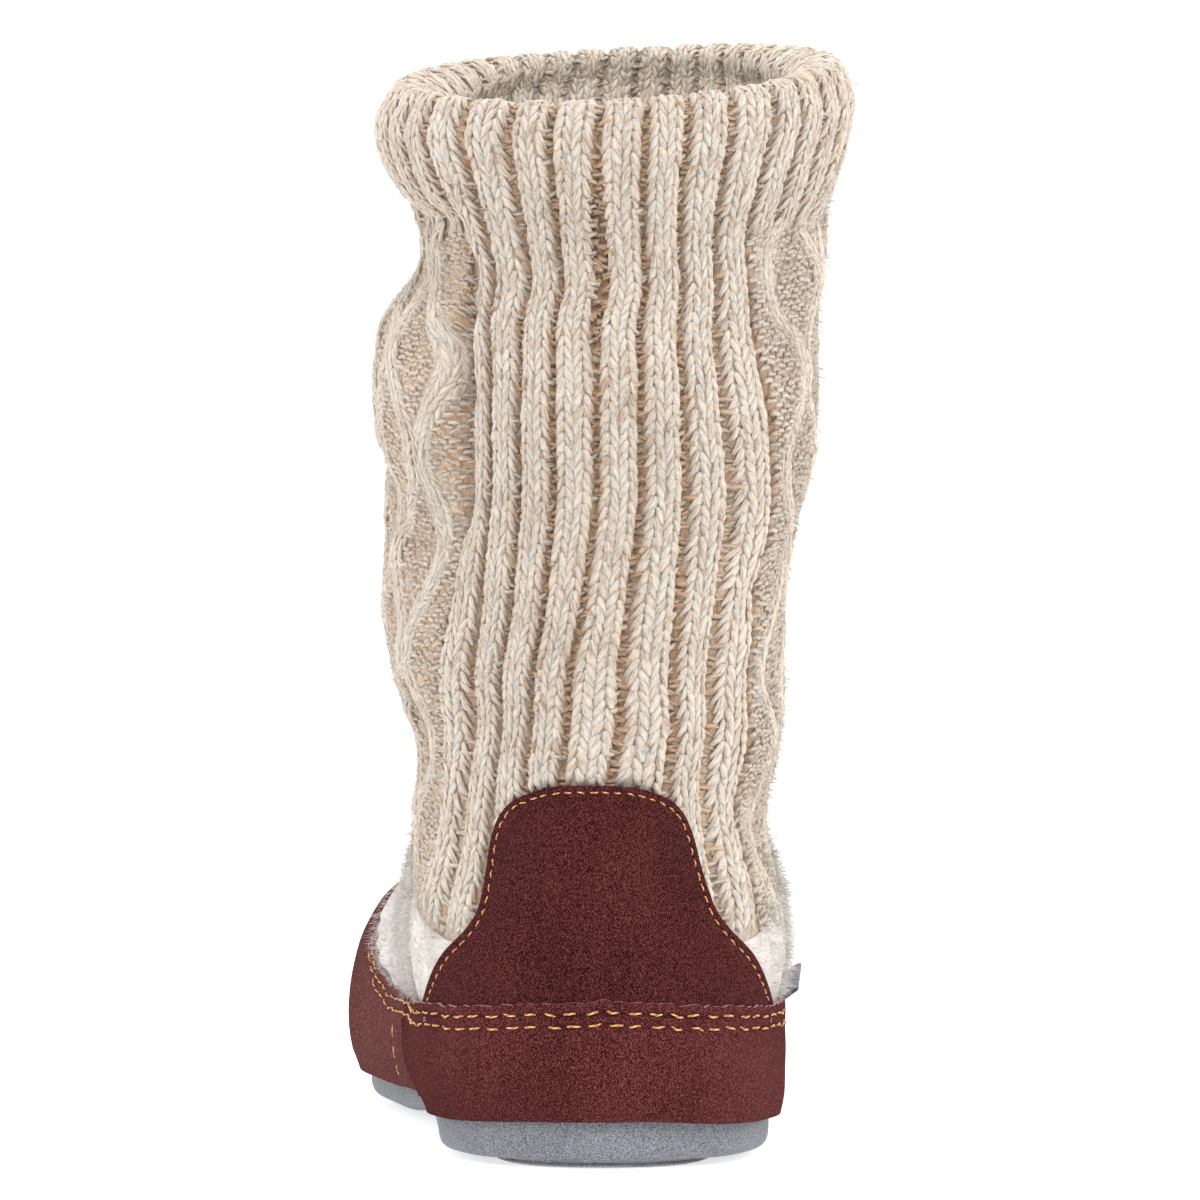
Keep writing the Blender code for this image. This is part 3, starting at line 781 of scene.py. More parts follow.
def leg_path(side, reach):
    """Sideways and upward run of one leg: out and low, then in and high."""
    t = LEG_STEPS
    lean = 0.5 - 0.5 * np.cos(math.pi * t)
    sideways = side * reach * mix(0.88, 0.16, mix(t, lean, 0.5))
    upward = -0.40 + LEG_ROWS * t
    crown = 0.36 * np.sin(math.pi * t ** 0.9) ** 0.75 - 0.27 - 0.10 * (1 - t)
    return sideways, upward, crown


draws = np.random.default_rng(7)


def jitter(count, size):
    return draws.normal(0, size, (count, 1))


def rib_legs(name, ribs, rows, seed):
    """All plain stitches of the given ribs, over the given rows."""
    rib, row, column, side = (grid.ravel() for grid in np.meshgrid(
        np.array(ribs, float), np.array(rows, float), [-1, 1], [-1, 1], indexing="ij"))
    low = rib + valley_half(rib, row)
    high = rib + 1 - valley_half(rib + 1, row)
    middle, quarter = 0.5 * (low + high), 0.25 * (high - low)
    sideways, upward, crown = leg_path(side[:, None], 1.0)
    count = len(rib)
    tilt = jitter(count, 0.10) * (LEG_STEPS - 0.5)
    spot = ((middle + column * quarter)[:, None] + (sideways + tilt) * quarter[:, None]
            + jitter(count, 0.014))
    place = row[:, None] + upward + 0.5 * (column[:, None] > 0) + jitter(count, 0.11)
    keep = in_panel(spot[:, 2], place[:, 2]) < 0.5
    centre, _ = on_knit(spot[:, 2], place[:, 2])
    keep &= under_counter(centre, around_of(spot[:, 2], place[:, 2])) < 0.9
    spot, place = spot[keep], place[keep]
    sunk = 0.7 * smooth(4.0, 0.0, place)
    points, normals = on_knit(spot, place, crown + 0.10 + jitter(len(spot), 0.08) - sunk)
    edges = [read(map_points, around_of(side_line[keep], place[:, 2]), place[:, 2])
             for side_line in (low, high)]
    column_mm = np.linalg.norm(edges[1] - edges[0], axis=-1) / 4
    wide = 0.92 * (column_mm / 2.0) ** 0.6 * draws.normal(1, 0.13, len(spot))
    # painted shade: legs low in the relief are painted darker; painted light lifts the legs on the inner
    # side (+x), where the key light falls, and on the hem's inner layer, and the painted shade eases near
    # the felted sewn edge
    depth = 0.30 + 0.50 * smooth(VALLEY, RIB_TOP, relief(spot[:, 2], place[:, 2]))
    felted = np.maximum(smooth(26, 6, place[:, 2]), smooth(8, 36, points[:, 2, 0]))
    depth = mix(mix(depth, 0.9, 0.55 * felted), 1.0, turned_in(place[:, 2]))
    return repeat(name, LEG, points, normals, wide, 0.54, wool,
                  tone=draws.random(len(spot)), depth=depth, seed=seed)


INNER_SHOWN = 13        # rows of the hem's inner layer that are worked stitch by stitch
shaft_rows = range(0, int(HEM_ROW))
back_ribs = rib_legs("back_ribs", range(0, CHARTED), shaft_rows, 11)
front_ribs = rib_legs("front_ribs", range(CHARTED + 9, RIBS - 9), shaft_rows, 12)
collar_rows = range(int(HEM_ROW), ROWS + ROLL_ROWS + INNER_SHOWN)
collar_back = rib_legs("collar_stitches_back", range(-7, 14), collar_rows, 13)
collar_front = rib_legs("collar_stitches_front", range(14, 29), collar_rows, 14)

# %% [markdown]
# ## Cable strands
# A strand is two columns wide.  Its stitches follow the zigzag, so each leg is laid out
# beside the strand's own direction, in millimetres, and then turned back into ribs and
# rows.  At a meeting one strand passes over the other, so it stands a little higher.

# %% Strands of both panels
STRAND_COLUMN = 3.0     # mm, one column of a strand
STRAND_PITCH = 2.36     # mm between its stitches


def strand_legs(name, panel, seed):
    spots, places, heights = [], [], []
    for gap in range(GAPS):
        fine_rows = np.linspace(-1.0, HEM_ROW + 1.0, 900)
        fine_ribs = strand_rib(panel, gap, fine_rows)
        step = np.hypot(np.diff(fine_ribs) * RIB_MM, np.diff(fine_rows) * ROW_MM)
        way = np.concatenate([[0], np.cumsum(step)])
        starts = np.arange(0, way[-1] - STRAND_PITCH * 1.4, STRAND_PITCH)
        for column in (-1, 1):
            for side in (-1, 1):
                sideways, upward, crown = leg_path(side, STRAND_COLUMN * 0.5)
                ahead = starts[:, None] + upward * STRAND_PITCH + 0.6 * (column > 0)
                rib, row = (np.interp(ahead, way, fine) for fine in (fine_ribs, fine_rows))
                slopes = [np.interp(ahead + 0.5, way, fine) - np.interp(ahead - 0.5, way, fine)
                          for fine in (fine_ribs, fine_rows)]
                run = unit(np.stack([slopes[0] * RIB_MM, slopes[1] * ROW_MM], -1))
                off = column * STRAND_COLUMN * 0.5 + sideways
                spots.append(rib + off * run[..., 1] / RIB_MM)
                places.append(row - off * run[..., 0] / ROW_MM)
                meeting = np.abs(((PANELS[panel][2] - row) / NODE_ROWS + 0.5) % 1 - 0.5)
                over = np.exp(-(meeting / 0.16) ** 2) * (0.7 if gap % 2 else -0.1)
                heights.append(crown + over - 0.70 * (np.abs(off) / STRAND_COLUMN) ** 2)
    spot, place, height = (np.concatenate(parts) for parts in (spots, places, heights))
    top = mix(FELTED, strand_height(spot), standing(place)) + 0.25
    points, normals = on_knit(spot, place, height + top + jitter(len(spot), 0.07), on_relief=False)
    keep = under_counter(points[:, 2], around_of(spot[:, 2], place[:, 2])) < 0.9
    points, normals = points[keep], normals[keep]
    wide = 0.80 * draws.normal(1, 0.12, len(points))
    # painted light: strands on the inner side (+x), where the key light falls, are painted lighter
    depth = mix(0.80, 0.95, smooth(8, 36, points[:, 2, 0]))
    return repeat(name, LEG, points, normals, wide, 0.58, wool,
                  tone=draws.random(len(points)), depth=depth, seed=seed)


outer_cables = strand_legs("outer_cables", "outer", 21)
inner_cables = strand_legs("inner_cables", "inner", 22)

# %% [markdown]
# ## Purl bumps
# Seen from the back of the fabric, a stitch is a small arch lying across.  One column of
# them fills each valley, and the ground of the cable panels is made of nothing else.

# %% Arches in the valleys and on the ground
PURL = grain(4, 3)
PURL_STEPS = PURL[2]


def arches(name, rib, row, half_width, rise, height, seed, thick, mess=1.0, pale=0.0):
    """Small arches across the fabric; half_width in ribs, rise in rows."""
    t = PURL_STEPS[None, :] * 2 - 1
    count = len(rib)
    spot = rib[:, None] + half_width[:, None] * t + jitter(count, 0.022 * mess)
    place = (row[:, None] + rise[:, None] * (1 - t ** 2) + jitter(count, 0.14 * mess)
             + jitter(count, 0.10 * mess) * t)
    dip = height - 0.50 * t ** 2 + jitter(count, 0.12)
    points, normals = on_knit(spot, place, dip)
    top_rib, top_row = spot[:, 1], place[:, 1]
    keep = under_counter(points[:, 1], around_of(top_rib, top_row)) < 0.9
    # painted light: the panels' ground, by pale and more on the inner panel, and the hem's inner layer are
    # lifted out of their painted shade
    shade_lifted = np.maximum(pale * mix(1.6, 1.0, ground_height(top_rib) / GROUND), 0.9 * turned_in(top_row))
    depth = mix(smooth(VALLEY, RIB_TOP, relief(top_rib, top_row) + height), 1.0, shade_lifted)
    roomy = np.clip(half_width / 0.15, 1.0, 1.7)
    # the painted shade is eased on the inner side (+x), as painted light where the key light falls, near the
    # felted sewn edge, and in the wide valleys
    soft = 0.6 * np.maximum(smooth(12, 36, points[:, 1, 0]), smooth(26, 6, top_row))
    soft = np.maximum(soft, 0.55 * (roomy - 1) / 0.7)
    depth = mix(0.28 + 0.54 * depth, 0.85, soft)
    wide = (thick * roomy)[keep] * draws.normal(1, 0.1, keep.sum())
    return repeat(name, PURL, points[keep], normals[keep], wide, thick * 0.9, wool,
                  tone=draws.random(keep.sum()), depth=depth[keep], seed=seed)


line, row = (grid.ravel() for grid in np.meshgrid(
    np.arange(RIBS, dtype=float), np.arange(0, ROWS + ROLL_ROWS + INNER_SHOWN, 0.5), indexing="ij"))
keep = in_panel(line + 0.001, row) < 0.5
line, row = line[keep], row[keep]
half_width = valley_half(line, row) + 0.045
rise = np.where(row % 1 > 0, 0.30, -0.25)
BROAD = 0.18            # ribs: a valley this wide holds two columns side by side
broad = half_width > BROAD
shift = np.concatenate([0 * line[~broad], -0.5 * half_width[broad], 0.5 * half_width[broad]])
line, row, rise = (np.concatenate([values[~broad], values[broad], values[broad]])
                   for values in (line, row, rise))
half_width = np.concatenate([half_width[~broad], 0.62 * half_width[broad], 0.62 * half_width[broad]])
row = row + 0.25 * (shift > 0)
valley_purls = arches("valley_purls", line + shift + 0.07 * rise, row + 0.3, half_width,
                      rise * np.where(shift != 0, 1.8, 1.0), 0.80, 31, 0.58, mess=1.9)

PURL_STEP = 0.30        # ribs between the ground's bumps
ground_ribs, ground_rows = [], []
for start, direction, _ in PANELS.values():
    column, row = (grid.ravel() for grid in np.meshgrid(
        np.arange(0.12, PANEL, PURL_STEP), np.arange(0, HEM_ROW, 0.5), indexing="ij"))
    ground_ribs.append(start + direction * (column + np.where((row * 2) % 2 > 0.5, 0.5 * PURL_STEP, 0.0)))
    ground_rows.append(row)
rib, row = np.concatenate(ground_ribs), np.concatenate(ground_rows)
bare = strand_nearness(rib, row) < 0.75
rib, row = rib[bare], row[bare]
# pale=0.55 lifts the ground's bumps out of their painted shade
panel_ground = arches("panel_ground", rib, row, np.full(len(rib), 0.145),
                      np.full(len(rib), 0.62), 0.50, 32, 0.70, pale=0.55)

# %% [markdown]
# ## The cloth under the yarn
# Real yarn is packed so tightly that no daylight shows between the stitches.  A closed
# double wall with the same relief, a little lower than the yarn, gives that backing, the
# inside of the shaft and the air-filled hem.

# %% Backing cloth
def grid_sheet(name, columns, rows, place, material, wrap=True, uv_scale=(1.0, 1.0), marks=None):
    """A grid whose points are put in place by place(u, v), with u and v from 0 to 1."""
    form = bmesh.new()
    bmesh.ops.create_grid(form, x_segments=columns, y_segments=rows, size=1.0)
    data = bpy.data.meshes.new(name)
    form.to_mesh(data)
    form.free()
    flat = np.zeros(len(data.vertices) * 3)
    data.vertices.foreach_get("co", flat)
    u, v = (flat.reshape(-1, 3)[:, :2].T + 1) / 2
    layer = data.uv_layers.new(name="yarn")
    corner = np.zeros(len(data.loops), int)
    data.loops.foreach_get("vertex_index", corner)
    layer.data.foreach_set("uv", np.stack([u[corner] * uv_scale[0], v[corner] * uv_scale[1]], -1).ravel())
    data.vertices.foreach_set("co", in_frame(place(u, v)).ravel())
    for key, values in (marks(u, v) if marks else {}).items():
        data.attributes.new(key, "FLOAT", "POINT").data.foreach_set("value", values.astype(np.float32))
    if wrap:
        form = bmesh.new()
        form.from_mesh(data)
        bmesh.ops.remove_doubles(form, verts=form.verts[:], dist=1e-6)
        bmesh.ops.recalc_face_normals(form, faces=form.faces[:])
        form.to_mesh(data)
        form.free()
    data.shade_smooth()
    return link(name, data, material)


def closed(piece):
    """Fills the openings that a wrapped sheet leaves, and points its faces outwards."""
    form = bmesh.new()
    form.from_mesh(piece.data)
    bmesh.ops.holes_fill(form, edges=[edge for edge in form.edges if edge.is_boundary], sides=0)
    bmesh.ops.recalc_face_normals(form, faces=form.faces[:])
    form.to_mesh(piece.data)
    form.free()
    return piece


BACKING = -0.06         # the cloth's height under the relief
CLOTH_ROWS = LAST_ROW + 1.0     # the last step closes the wall at the sewn edge


def cloth_marks(u, v):
    row = v * CLOTH_ROWS
    height = relief(u * RIBS, np.minimum(row, LAST_ROW))
    lit = mix(0.25 + 0.45 * smooth(VALLEY, RIB_TOP, height), 0.95, turned_in(row))
    return {"tone": np.full(len(u), 0.5), "depth": lit}


def cloth_place(u, v):
    """Up the outside, over the rim, down inside, and back to the start."""
    rib, row = u * RIBS, v * CLOTH_ROWS
    fuller = BACKING + mix(0.40, 0.22, in_inner_panel(rib)) * in_panel(rib, row) + 0.35 * turned_in(row)
    point, _ = on_knit(rib, np.minimum(row, LAST_ROW), fuller)
    start, _ = on_knit(rib, np.zeros_like(row), fuller)
    closing = np.clip(row - LAST_ROW, 0, 1)[:, None]
    return mix(point, start, closing)


cloth = grid_sheet("knit_cloth", RIBS * 6, 112, cloth_place, wool, uv_scale=(60.0, 40.0),
                   marks=cloth_marks)
print("cloth", len(cloth.data.polygons), "faces")

# %% Which CAD nodes the knit stands for
for piece in (cloth, back_ribs):
    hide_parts("shaft")

# %% [markdown]
# ## The fleece foot
# Under the knit the boot is a soft fleece sock on its sole.  It shows only at the two
# sides, between the suede and the knit, so it is a closed double wall with a lumpy face
# there, and short curved fibres stand on it.

# %% Fleece wall
# distance from the heel's back, height of the suede bands' top edge
BAND_EDGE = np.array([(0, 36.0), (20, 34.8), (45, 33.8), (80, 32.6), (112, 32.0),
                      (126, 35.2), (140, 44.6), (155, 57.6), (172, 73.6)])
FOOT_WALL, SOLE_TOP, GAP = 3.0, 9.6, 0.3
CLIMB = 0.46            # the share of the sheet that climbs the outside, and comes down inside


def over_band(point):
    """Height over the suede bands' top edge."""
    return point[..., 2] - np.interp(point[..., 1], BAND_EDGE[:, 0], BAND_EDGE[:, 1])


def top_of_band(around):
    return level_where(around, lambda point: over_band(point) > 0, LEVEL["tuck"], LEVEL["instep"])


def waves(points, lengths, seed):
    """A smooth, repeatable unevenness: a few crossed sines of the given wave lengths."""
    draw = np.random.default_rng(seed)
    total = np.zeros(points.shape[:-1])
    for length in lengths:
        for _ in range(5):
            way = unit(draw.normal(size=3)) * 2 * math.pi / length
            total += np.sin(points @ way + draw.random() * 6.28)    # about one full turn
    return total / (5 * len(lengths)) ** 0.5


def even_round(u):
    """`around` for even steps along the foot's outline."""
    half = 0.5 * np.interp(1 - np.abs(1 - 2 * u), spread(HALVES), HALVES)
    return np.where(u <= 0.5, half, 1 - half)


def pile_height(point):
    """Flat at the heel, deep along the sides, and sunk under its neighbours."""
    showing = smooth(0.5, 3.0, over_band(point)) * smooth(2.8, -0.5, knit_edge(point))
    return showing * (mix(0.2, 2.3, smooth(42, 104, point[..., 1])) + 0.18 * waves(point, (5.0, 9.0), 3))


def foot_place(u, v):
    around = even_round(u)
    top = level_where(around, lambda point: knit_edge(point) > 2.5, LEVEL["band"], LEVEL["throat"])
    outside = v < 0.5
    up = np.clip(np.where(outside, v, 0.5 + CLIMB - v) / CLIMB, 0, 1)
    level = mix(float(LEVEL["feather"]), top, up)
    offset = np.where(outside, pile_height(skin(around, level)), -FOOT_WALL)
    return skin(around, level, offset)


def fleece_finish():
    material, tree, shader = new_finish("cream_fleece", 0.95, sheen=0.3, sheen_tint=(1.0, 0.97, 0.93))
    place = object_place(tree)
    clumps = noise(tree, place, 260.0, 4.0, 0.65)
    tufts = noise(tree, place, 1300.0, 3.0, 0.7)
    total = weighted(tree, (tufts, 0.4), (clumps, 0.6))
    cream = ramp(tree, total, [(0.32, (.46, .425, .394)), (0.50, (.505, .470, .440)),
                               (0.66, (.535, .502, .474))])
    paint(tree, shader, cream, total, 0.4, 0.0007)
    return material


fleece = fleece_finish()
foot = grid_sheet("fleece_foot", 190, 62, foot_place, fleece, uv_scale=(40.0, 10.0))
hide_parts("upper")

# %% [markdown]
# ## Fibres
# Wool and fleece are never sharp at their edges.  Thin curved hairs, each a grain with
# three sides, are rooted on the surface and lean with their neighbours.  They catch the
# light along the outline and soften the stitches.

# %% Hairs
HAIR = grain(3, 2)
HAIR_STEPS = HAIR[2]


def hairs(name, root, normal, length, thick, lean, material, seed):
    """Curved hairs from root points; lean is a direction that they bend towards."""
    count = len(root)
    t = HAIR_STEPS[None, :, None]
    draw = np.random.default_rng(seed)
    own = unit(draw.normal(size=(count, 3)))
    start = unit(normal + 0.9 * own + 0.6 * lean)
    bend = unit(lean + 0.8 * unit(draw.normal(size=(count, 3))))
    size = (length * draw.uniform(0.5, 1.25, count))[:, None, None]
    path = root[:, None] + size * (start[:, None] * t + bend[:, None] * 0.55 * t ** 2)
    frame_normal = np.broadcast_to(unit(np.cross(start, bend) + 1e-6)[:, None], path.shape)
    return repeat(name, HAIR, path, frame_normal, thick, thick, material,
                  tone=draw.random(count), depth=np.full(count, 0.9), seed=seed)


def combed(root, lengths, seed, droop):
    """A direction for each hair that changes slowly over the surface."""
    return unit(np.stack([waves(root, lengths, seed + k) for k in range(3)], -1) + np.array(droop))


IN_VALLEYS, IN_INNER_PANEL = 0.30, 0.10     # shares of the hairs that gather there


def knit_hairs(name, count, length, thick, seed):
    draw = np.random.default_rng(seed)
    rib = draw.uniform(0, RIBS, count)
    lot = draw.random(count)
    rib = np.where(lot < IN_VALLEYS, np.rint(rib) + draw.normal(0, 0.09, count), rib)
    rib = np.where(lot > 1 - IN_INNER_PANEL, draw.uniform(CHARTED, CHARTED + PANEL, count), rib)
    row = draw.uniform(0, ROWS + 2 * ROLL_ROWS, count)
    height = np.where(in_panel(rib, row) > 0.5, cable_height(rib, row), relief(rib, row))
    root, normal = on_knit(rib, row, height - 0.1, on_relief=False)
    keep = under_counter(root, around_of(rib, row)) < 0.5
    root, normal = root[keep], normal[keep]
    return hairs(name, root, normal, length, thick, combed(root, (14.0,), seed, (0, 0, -0.4)), wool, seed)


fuzz = knit_hairs("knit_fuzz", 29500, 3.0, 0.052, 41)


def fleece_pile(name, count, length, thick, seed):
    draw = np.random.default_rng(seed)
    tries = count * 6       # most fall outside the strip of fleece that shows
    around = draw.uniform(0.1, 0.9, tries)
    level = draw.uniform(LEVEL["band"], LEVEL["throat"], tries)
    point = skin(around, level)
    border = knit_edge(point) + draw.exponential(3.0, tries)
    keep = (over_band(point) > 0.6) & (border < 8.0) & (under_counter(point, around) < 0.05)
    around, level = around[keep][:count], level[keep][:count]
    root = skin(around, level, pile_height(body(around, level)) + 0.2)
    normal = skin_normal(around, level)
    lean = combed(root, (10.0, 22.0), seed, (0, -0.3, -0.3))
    longer = 1 + 0.5 * np.exp(-((root[:, 1] - 66) / 20) ** 2)
    return hairs(name, root, normal, length * longer, thick, lean, fleece, seed)


pile = fleece_pile("fleece_pile", 9500, 2.2, 0.056, 51)

# %% [markdown]
# ## Suede
# The overlays are maroon split suede: a short mottled nap, darker where it is stroked
# one way, and a paler raw edge where it was cut.  The toe's piece is a little paler and
# the counter's darker.  Each overlay is a sheet laid on the body and given its thickness
# by Solidify, whose rim takes the raw-edge finish.

# %% Suede, raw edge and thread
TONE_SPREAD = 0.085     # how close the dark and the pale nap lie to the middle tone


def suede_finish(name, dark, middle, pale, bump_strength=1.0):
    material, tree, shader = new_finish(name, 0.95, sheen=0.03, sheen_tint=(1.0, 0.72, 0.68))
    shader.inputs["Specular IOR Level"].default_value = 0.0
    place = object_place(tree)
    strokes = noise(tree, stretched(tree, place, (1.0, 1.0, 0.6)), 40.0)
    nap = noise(tree, place, 5200.0, 0.0)
    fibres = noise(tree, stretched(tree, place, (1.0, 1.0, 0.40)), 5200.0, 0.0)
    total = weighted(tree, (nap, 0.48), (strokes, 0.12), (fibres, 0.40))
    tones = ramp(tree, total, [(0.5 - TONE_SPREAD, dark), (0.50, middle), (0.5 + 1.3 * TONE_SPREAD, pale)])
    # painted shadow: the slots beside the side seam are painted nearly black
    gap = ramp(tree, own_mark(tree, "gap"), [(0.2, (1, 1, 1)), (0.8, (.14, .12, .12))])
    height = weighted(tree, (fibres, 0.4), (nap, 0.6))
    paint(tree, shader, times(tree, tones, gap), height, bump_strength, 0.0005)
    return material


counter_suede = suede_finish("counter_suede", (.014, .0018, .0022), (.041, .0078, .0084), (.118, .034, .033))
band_suede = suede_finish("band_suede", (.020, .0028, .0034), (.058, .0115, .0120), (.158, .048, .046))
toe_suede = suede_finish("toe_suede", (.034, .007, .0080), (.090, .025, .025), (.215, .090, .083))
raw_edge = suede_finish("raw_suede_edge", (.18, .08, .08), (.34, .21, .20), (.58, .45, .43), 0.9)


def thread_finish():
    material, tree, shader = new_finish("orange_thread", 0.55, sheen=0.1)
    yarn = yarn_map(tree)
    twist = out(add(tree, "TexWave", {"bands_direction": "DIAGONAL"}, Vector=yarn, Scale=1.1,
                    Distortion=0.6))
    fibres = noise(tree, stretched(tree, yarn, (9, 2, 1)), 1.0)
    total = weighted(tree, (fibres, 0.45), (twist, 0.55))
    orange = ramp(tree, total, [(0.2, (.22, .070, .018)), (0.55, (.52, .225, .060)),
                                (0.85, (.78, .47, .20))])
    paint(tree, shader, orange, total, 0.6, 0.0003)
    return material


thread = thread_finish()
print("suede finishes ready")

# %% [markdown]
# A band's rows are laid out from its top edge down: close together near the edge, where
# two grooves take the stitching, and evenly below.  The distances are measured along
# the surface, so they hold on the steep toe cap as well as at the heel.

# %% Rows measured from an edge
SEAT, SUEDE = 0.75, 1.15            # the suede's inner face over the body, and its thickness
STITCH_LINES = (2.4, 5.1)           # mm below the edge
EDGE_ROWS = np.array([0, .35, .8, 1.5, 1.95, 2.2, 2.4, 2.6, 2.85, 3.4,
                      4.1, 4.6, 4.9, 5.1, 5.3, 5.6, 6.1, 7.0])


def levels_down(around, low, high, distances, lower_rows):
    """Levels at the given distances below the top, then evenly down to the bottom."""
    fine = mix(np.asarray(high), low + 0 * around, np.linspace(0, 1, 160)[:, None])
    step = np.linalg.norm(np.diff(body(around, fine), axis=0), axis=-1)
    way = np.concatenate([np.zeros((1, len(around))), np.cumsum(step, 0)])
    rows = []
    for i in range(len(around)):
        near = np.minimum(distances, way[-1, i] * distances / (distances[-1] + 8))
        rest = np.linspace(near[-1], way[-1, i], lower_rows + 1)[1:]
        rows.append(np.interp(np.concatenate([near, rest]), way[:, i], fine[:, i]))
    return np.array(rows).T


SOFT_EDGE = 0.35


def solid_suede(piece):
    """Gives a sheet the suede's thickness, with a soft, raw rim."""
    piece.data.materials.append(raw_edge)
    wall_maker = piece.modifiers.new("thickness", "SOLIDIFY")
    wall_maker.thickness = SUEDE * MM
    wall_maker.offset = -1.0
    wall_maker.use_rim = True
    wall_maker.material_offset_rim = 1
    rounder = piece.modifiers.new("soft_edge", "BEVEL")
    rounder.width = SOFT_EDGE * MM
    rounder.segments = 2
    rounder.limit_method = "ANGLE"
    rounder.angle_limit = math.radians(75)
    return piece


SIDE_SEAM = 80.0        # mm from the heel's back to the seam where the two bands meet


def side_seam(sign):
    """`around` of the side seam, + for the inner side."""
    way, fine = INNER if sign > 0 else OUTER
    return float(round_from_heel(np.array(sign * np.interp(SIDE_SEAM, fine[:, 1], way))))


def under_band(around, down):
    """Extra height where the band's edge lies on the counter."""
    return 0.95 * smooth(56, 48, way_from_heel(around)) * np.exp(-(down / 3.2) ** 2)


END_STEPS = np.array([0, .8, 2, 3.5, 5, 6, 6.8, 7.6, 8.4, 9.2, 10, 11, 12.5, 14,
                      14.8, 15.6, 16.4, 17.2, 18, 19.2, 21, 23])
# each slot is a shallow dip with its shadow painted dark
SEAM_GAPS = (7.0, 15.4)     # mm from the front band's end to each slot beside the seam
SEAM_STITCHES = 26.0        # and to the upright row of stitches
BAND_BOTTOM = 27.0          # mm of surface from a band's top edge to its bottom, nominally


def span_steps(start, end, count):
    """`around` from start to end, closer near both ends, and the way to the nearer end."""
    fine = np.linspace(start, end, 4000)
    step = np.hypot(*np.diff(np.array(plan(fine)), axis=1))
    way = np.concatenate([[0], np.cumsum(step)])
    even = np.linspace(END_STEPS[-1], way[-1] - END_STEPS[-1], count - 2 * len(END_STEPS) + 2)[1:-1]
    steps = np.concatenate([END_STEPS, even, way[-1] - END_STEPS[::-1]])
    return np.interp(steps, way, fine), np.minimum(steps, way[-1] - steps)


def band(name, start, end, columns, lower_rows, end_lift, finish, gaps=()):
    """A band's sheet, and the lines that its stitches follow."""
    arounds, to_end = span_steps(start, end, columns)
    side, ahead = plan(arounds)
    along = np.stack([side, ahead, 0 * arounds], -1)
    uneven = 0.030 * waves(along, (2.2, 4.5), 5)
    bowed = 0.030 * waves(along, (38.0, 60.0), 6)
    peak = 0.09 * np.exp(-((side - 1.0) / 1.3) ** 2) * (ahead < 20)     # at the middle of the heel
    tops = top_of_band(arounds) + uneven + bowed + peak
    heel = smooth(112, 88, ahead)
    low = heel * (0.70 + 0.28 * np.exp(-((side - 13) / 12) ** 2)) + 0.1
    rows = levels_down(arounds, low, tops, EDGE_ROWS, lower_rows)
    first_down = EDGE_ROWS[-1] + (BAND_BOTTOM - EDGE_ROWS[-1]) / lower_rows
    down = np.concatenate([EDGE_ROWS, np.linspace(first_down, BAND_BOTTOM, lower_rows)])
    groove = sum(np.exp(-((down - line) / 0.32) ** 2) for line in STITCH_LINES)
    hanging = heel * mix(-1.6, 0.8, smooth(-25, 25, side)) - 0.3 * (1 - heel)
    proud = end_lift * smooth(7.0, 0.8, to_end)
    # the slots beside the side seam: a shallow dip and a painted shadow
    gap = sum((np.exp(-((to_end - spot) / 1.3) ** 2) for spot in gaps), np.zeros(columns))

    def column_and_row(u, v):
        return np.rint(u * (columns - 1)).astype(int), np.rint((1 - v) * (len(rows) - 1)).astype(int)

    def seam_shadow_marks(u, v):
        i, j = column_and_row(u, v)
        return {"gap": gap[i] * smooth(5.4, 7.0, down[j]) * smooth(26.0, 24.0, down[j])}

    def place(u, v):
        i, j = column_and_row(u, v)
        point = body(arounds[i], rows[j, i])
        offset = (SEAT + SUEDE + under_band(arounds[i], down[j]) - 0.38 * groove[j] + proud[i]
                  + hanging[i] * smooth(15, BAND_BOTTOM, down[j]) + 0.12 * waves(point, (16.0, 37.0), 8)
                  - 0.12 * gap[i] * smooth(5.4, 7.0, down[j]) * smooth(25.0, 20.0, down[j]))
        return skin(arounds[i], rows[j, i], offset)

    piece = grid_sheet(name, columns - 1, len(rows) - 1, place, finish, wrap=False, marks=seam_shadow_marks)
    stitch_rows = []
    for line in STITCH_LINES:
        level = np.array([np.interp(line, down, rows[:, i]) for i in range(columns)])
        offset = SEAT + SUEDE + under_band(arounds, line) + proud + 0.02
        stitch_rows.append((skin(arounds, level, offset), skin_normal(arounds, level)))
    upright = np.linspace(7.0, 24.0, 40)
    for i in (np.flatnonzero(to_end > SEAM_STITCHES)[[0, -1]] if gaps else ()):
        level = np.interp(upright, down, rows[:, i])
        offset = SEAT + SUEDE + hanging[i] * smooth(15, BAND_BOTTOM, upright) + 0.05
        stitch_rows.append((skin(arounds[i], level, offset), skin_normal(arounds[i], level)))
    return solid_suede(piece), stitch_rows


OVERLAP = 0.0006        # each band reaches this share of the way round past the seam
left_seam, right_seam = side_seam(-1), side_seam(1)
back_band, back_lines = band("foxing_band_back", left_seam - OVERLAP, right_seam + OVERLAP,
                             180, 12, 0.9, band_suede)
front_band, front_lines = band("foxing_band_front", right_seam - OVERLAP, 1 + left_seam + OVERLAP,
                               200, 24, -0.5, toe_suede, SEAM_GAPS)
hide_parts("foxing_back")
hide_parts("foxing_front")

# %% [markdown]
# ## The heel counter
# The counter is a bell shape.  Its edge is a curve laid out flat, as the pattern cutter
# draws it: the way round from the heel's middle, and the height.  Rows follow that edge
# inwards, so the seam groove stays parallel to it all the way round.

# %% Counter
def smooth_edge(table, count):
    """The whole edge from wing to wing, evenly spaced along its length."""
    mirror = np.concatenate([table[:0:-1] * (-1, 1), table])
    line = catmull(mirror, np.linspace(0, len(mirror) - 1, 3000))
    way = np.concatenate([[0], np.cumsum(np.hypot(*np.diff(line, axis=0).T))])
    even = np.linspace(0, way[-1], count)
    return np.stack([np.interp(even, way, line[:, k]) for k in (0, 1)], -1)


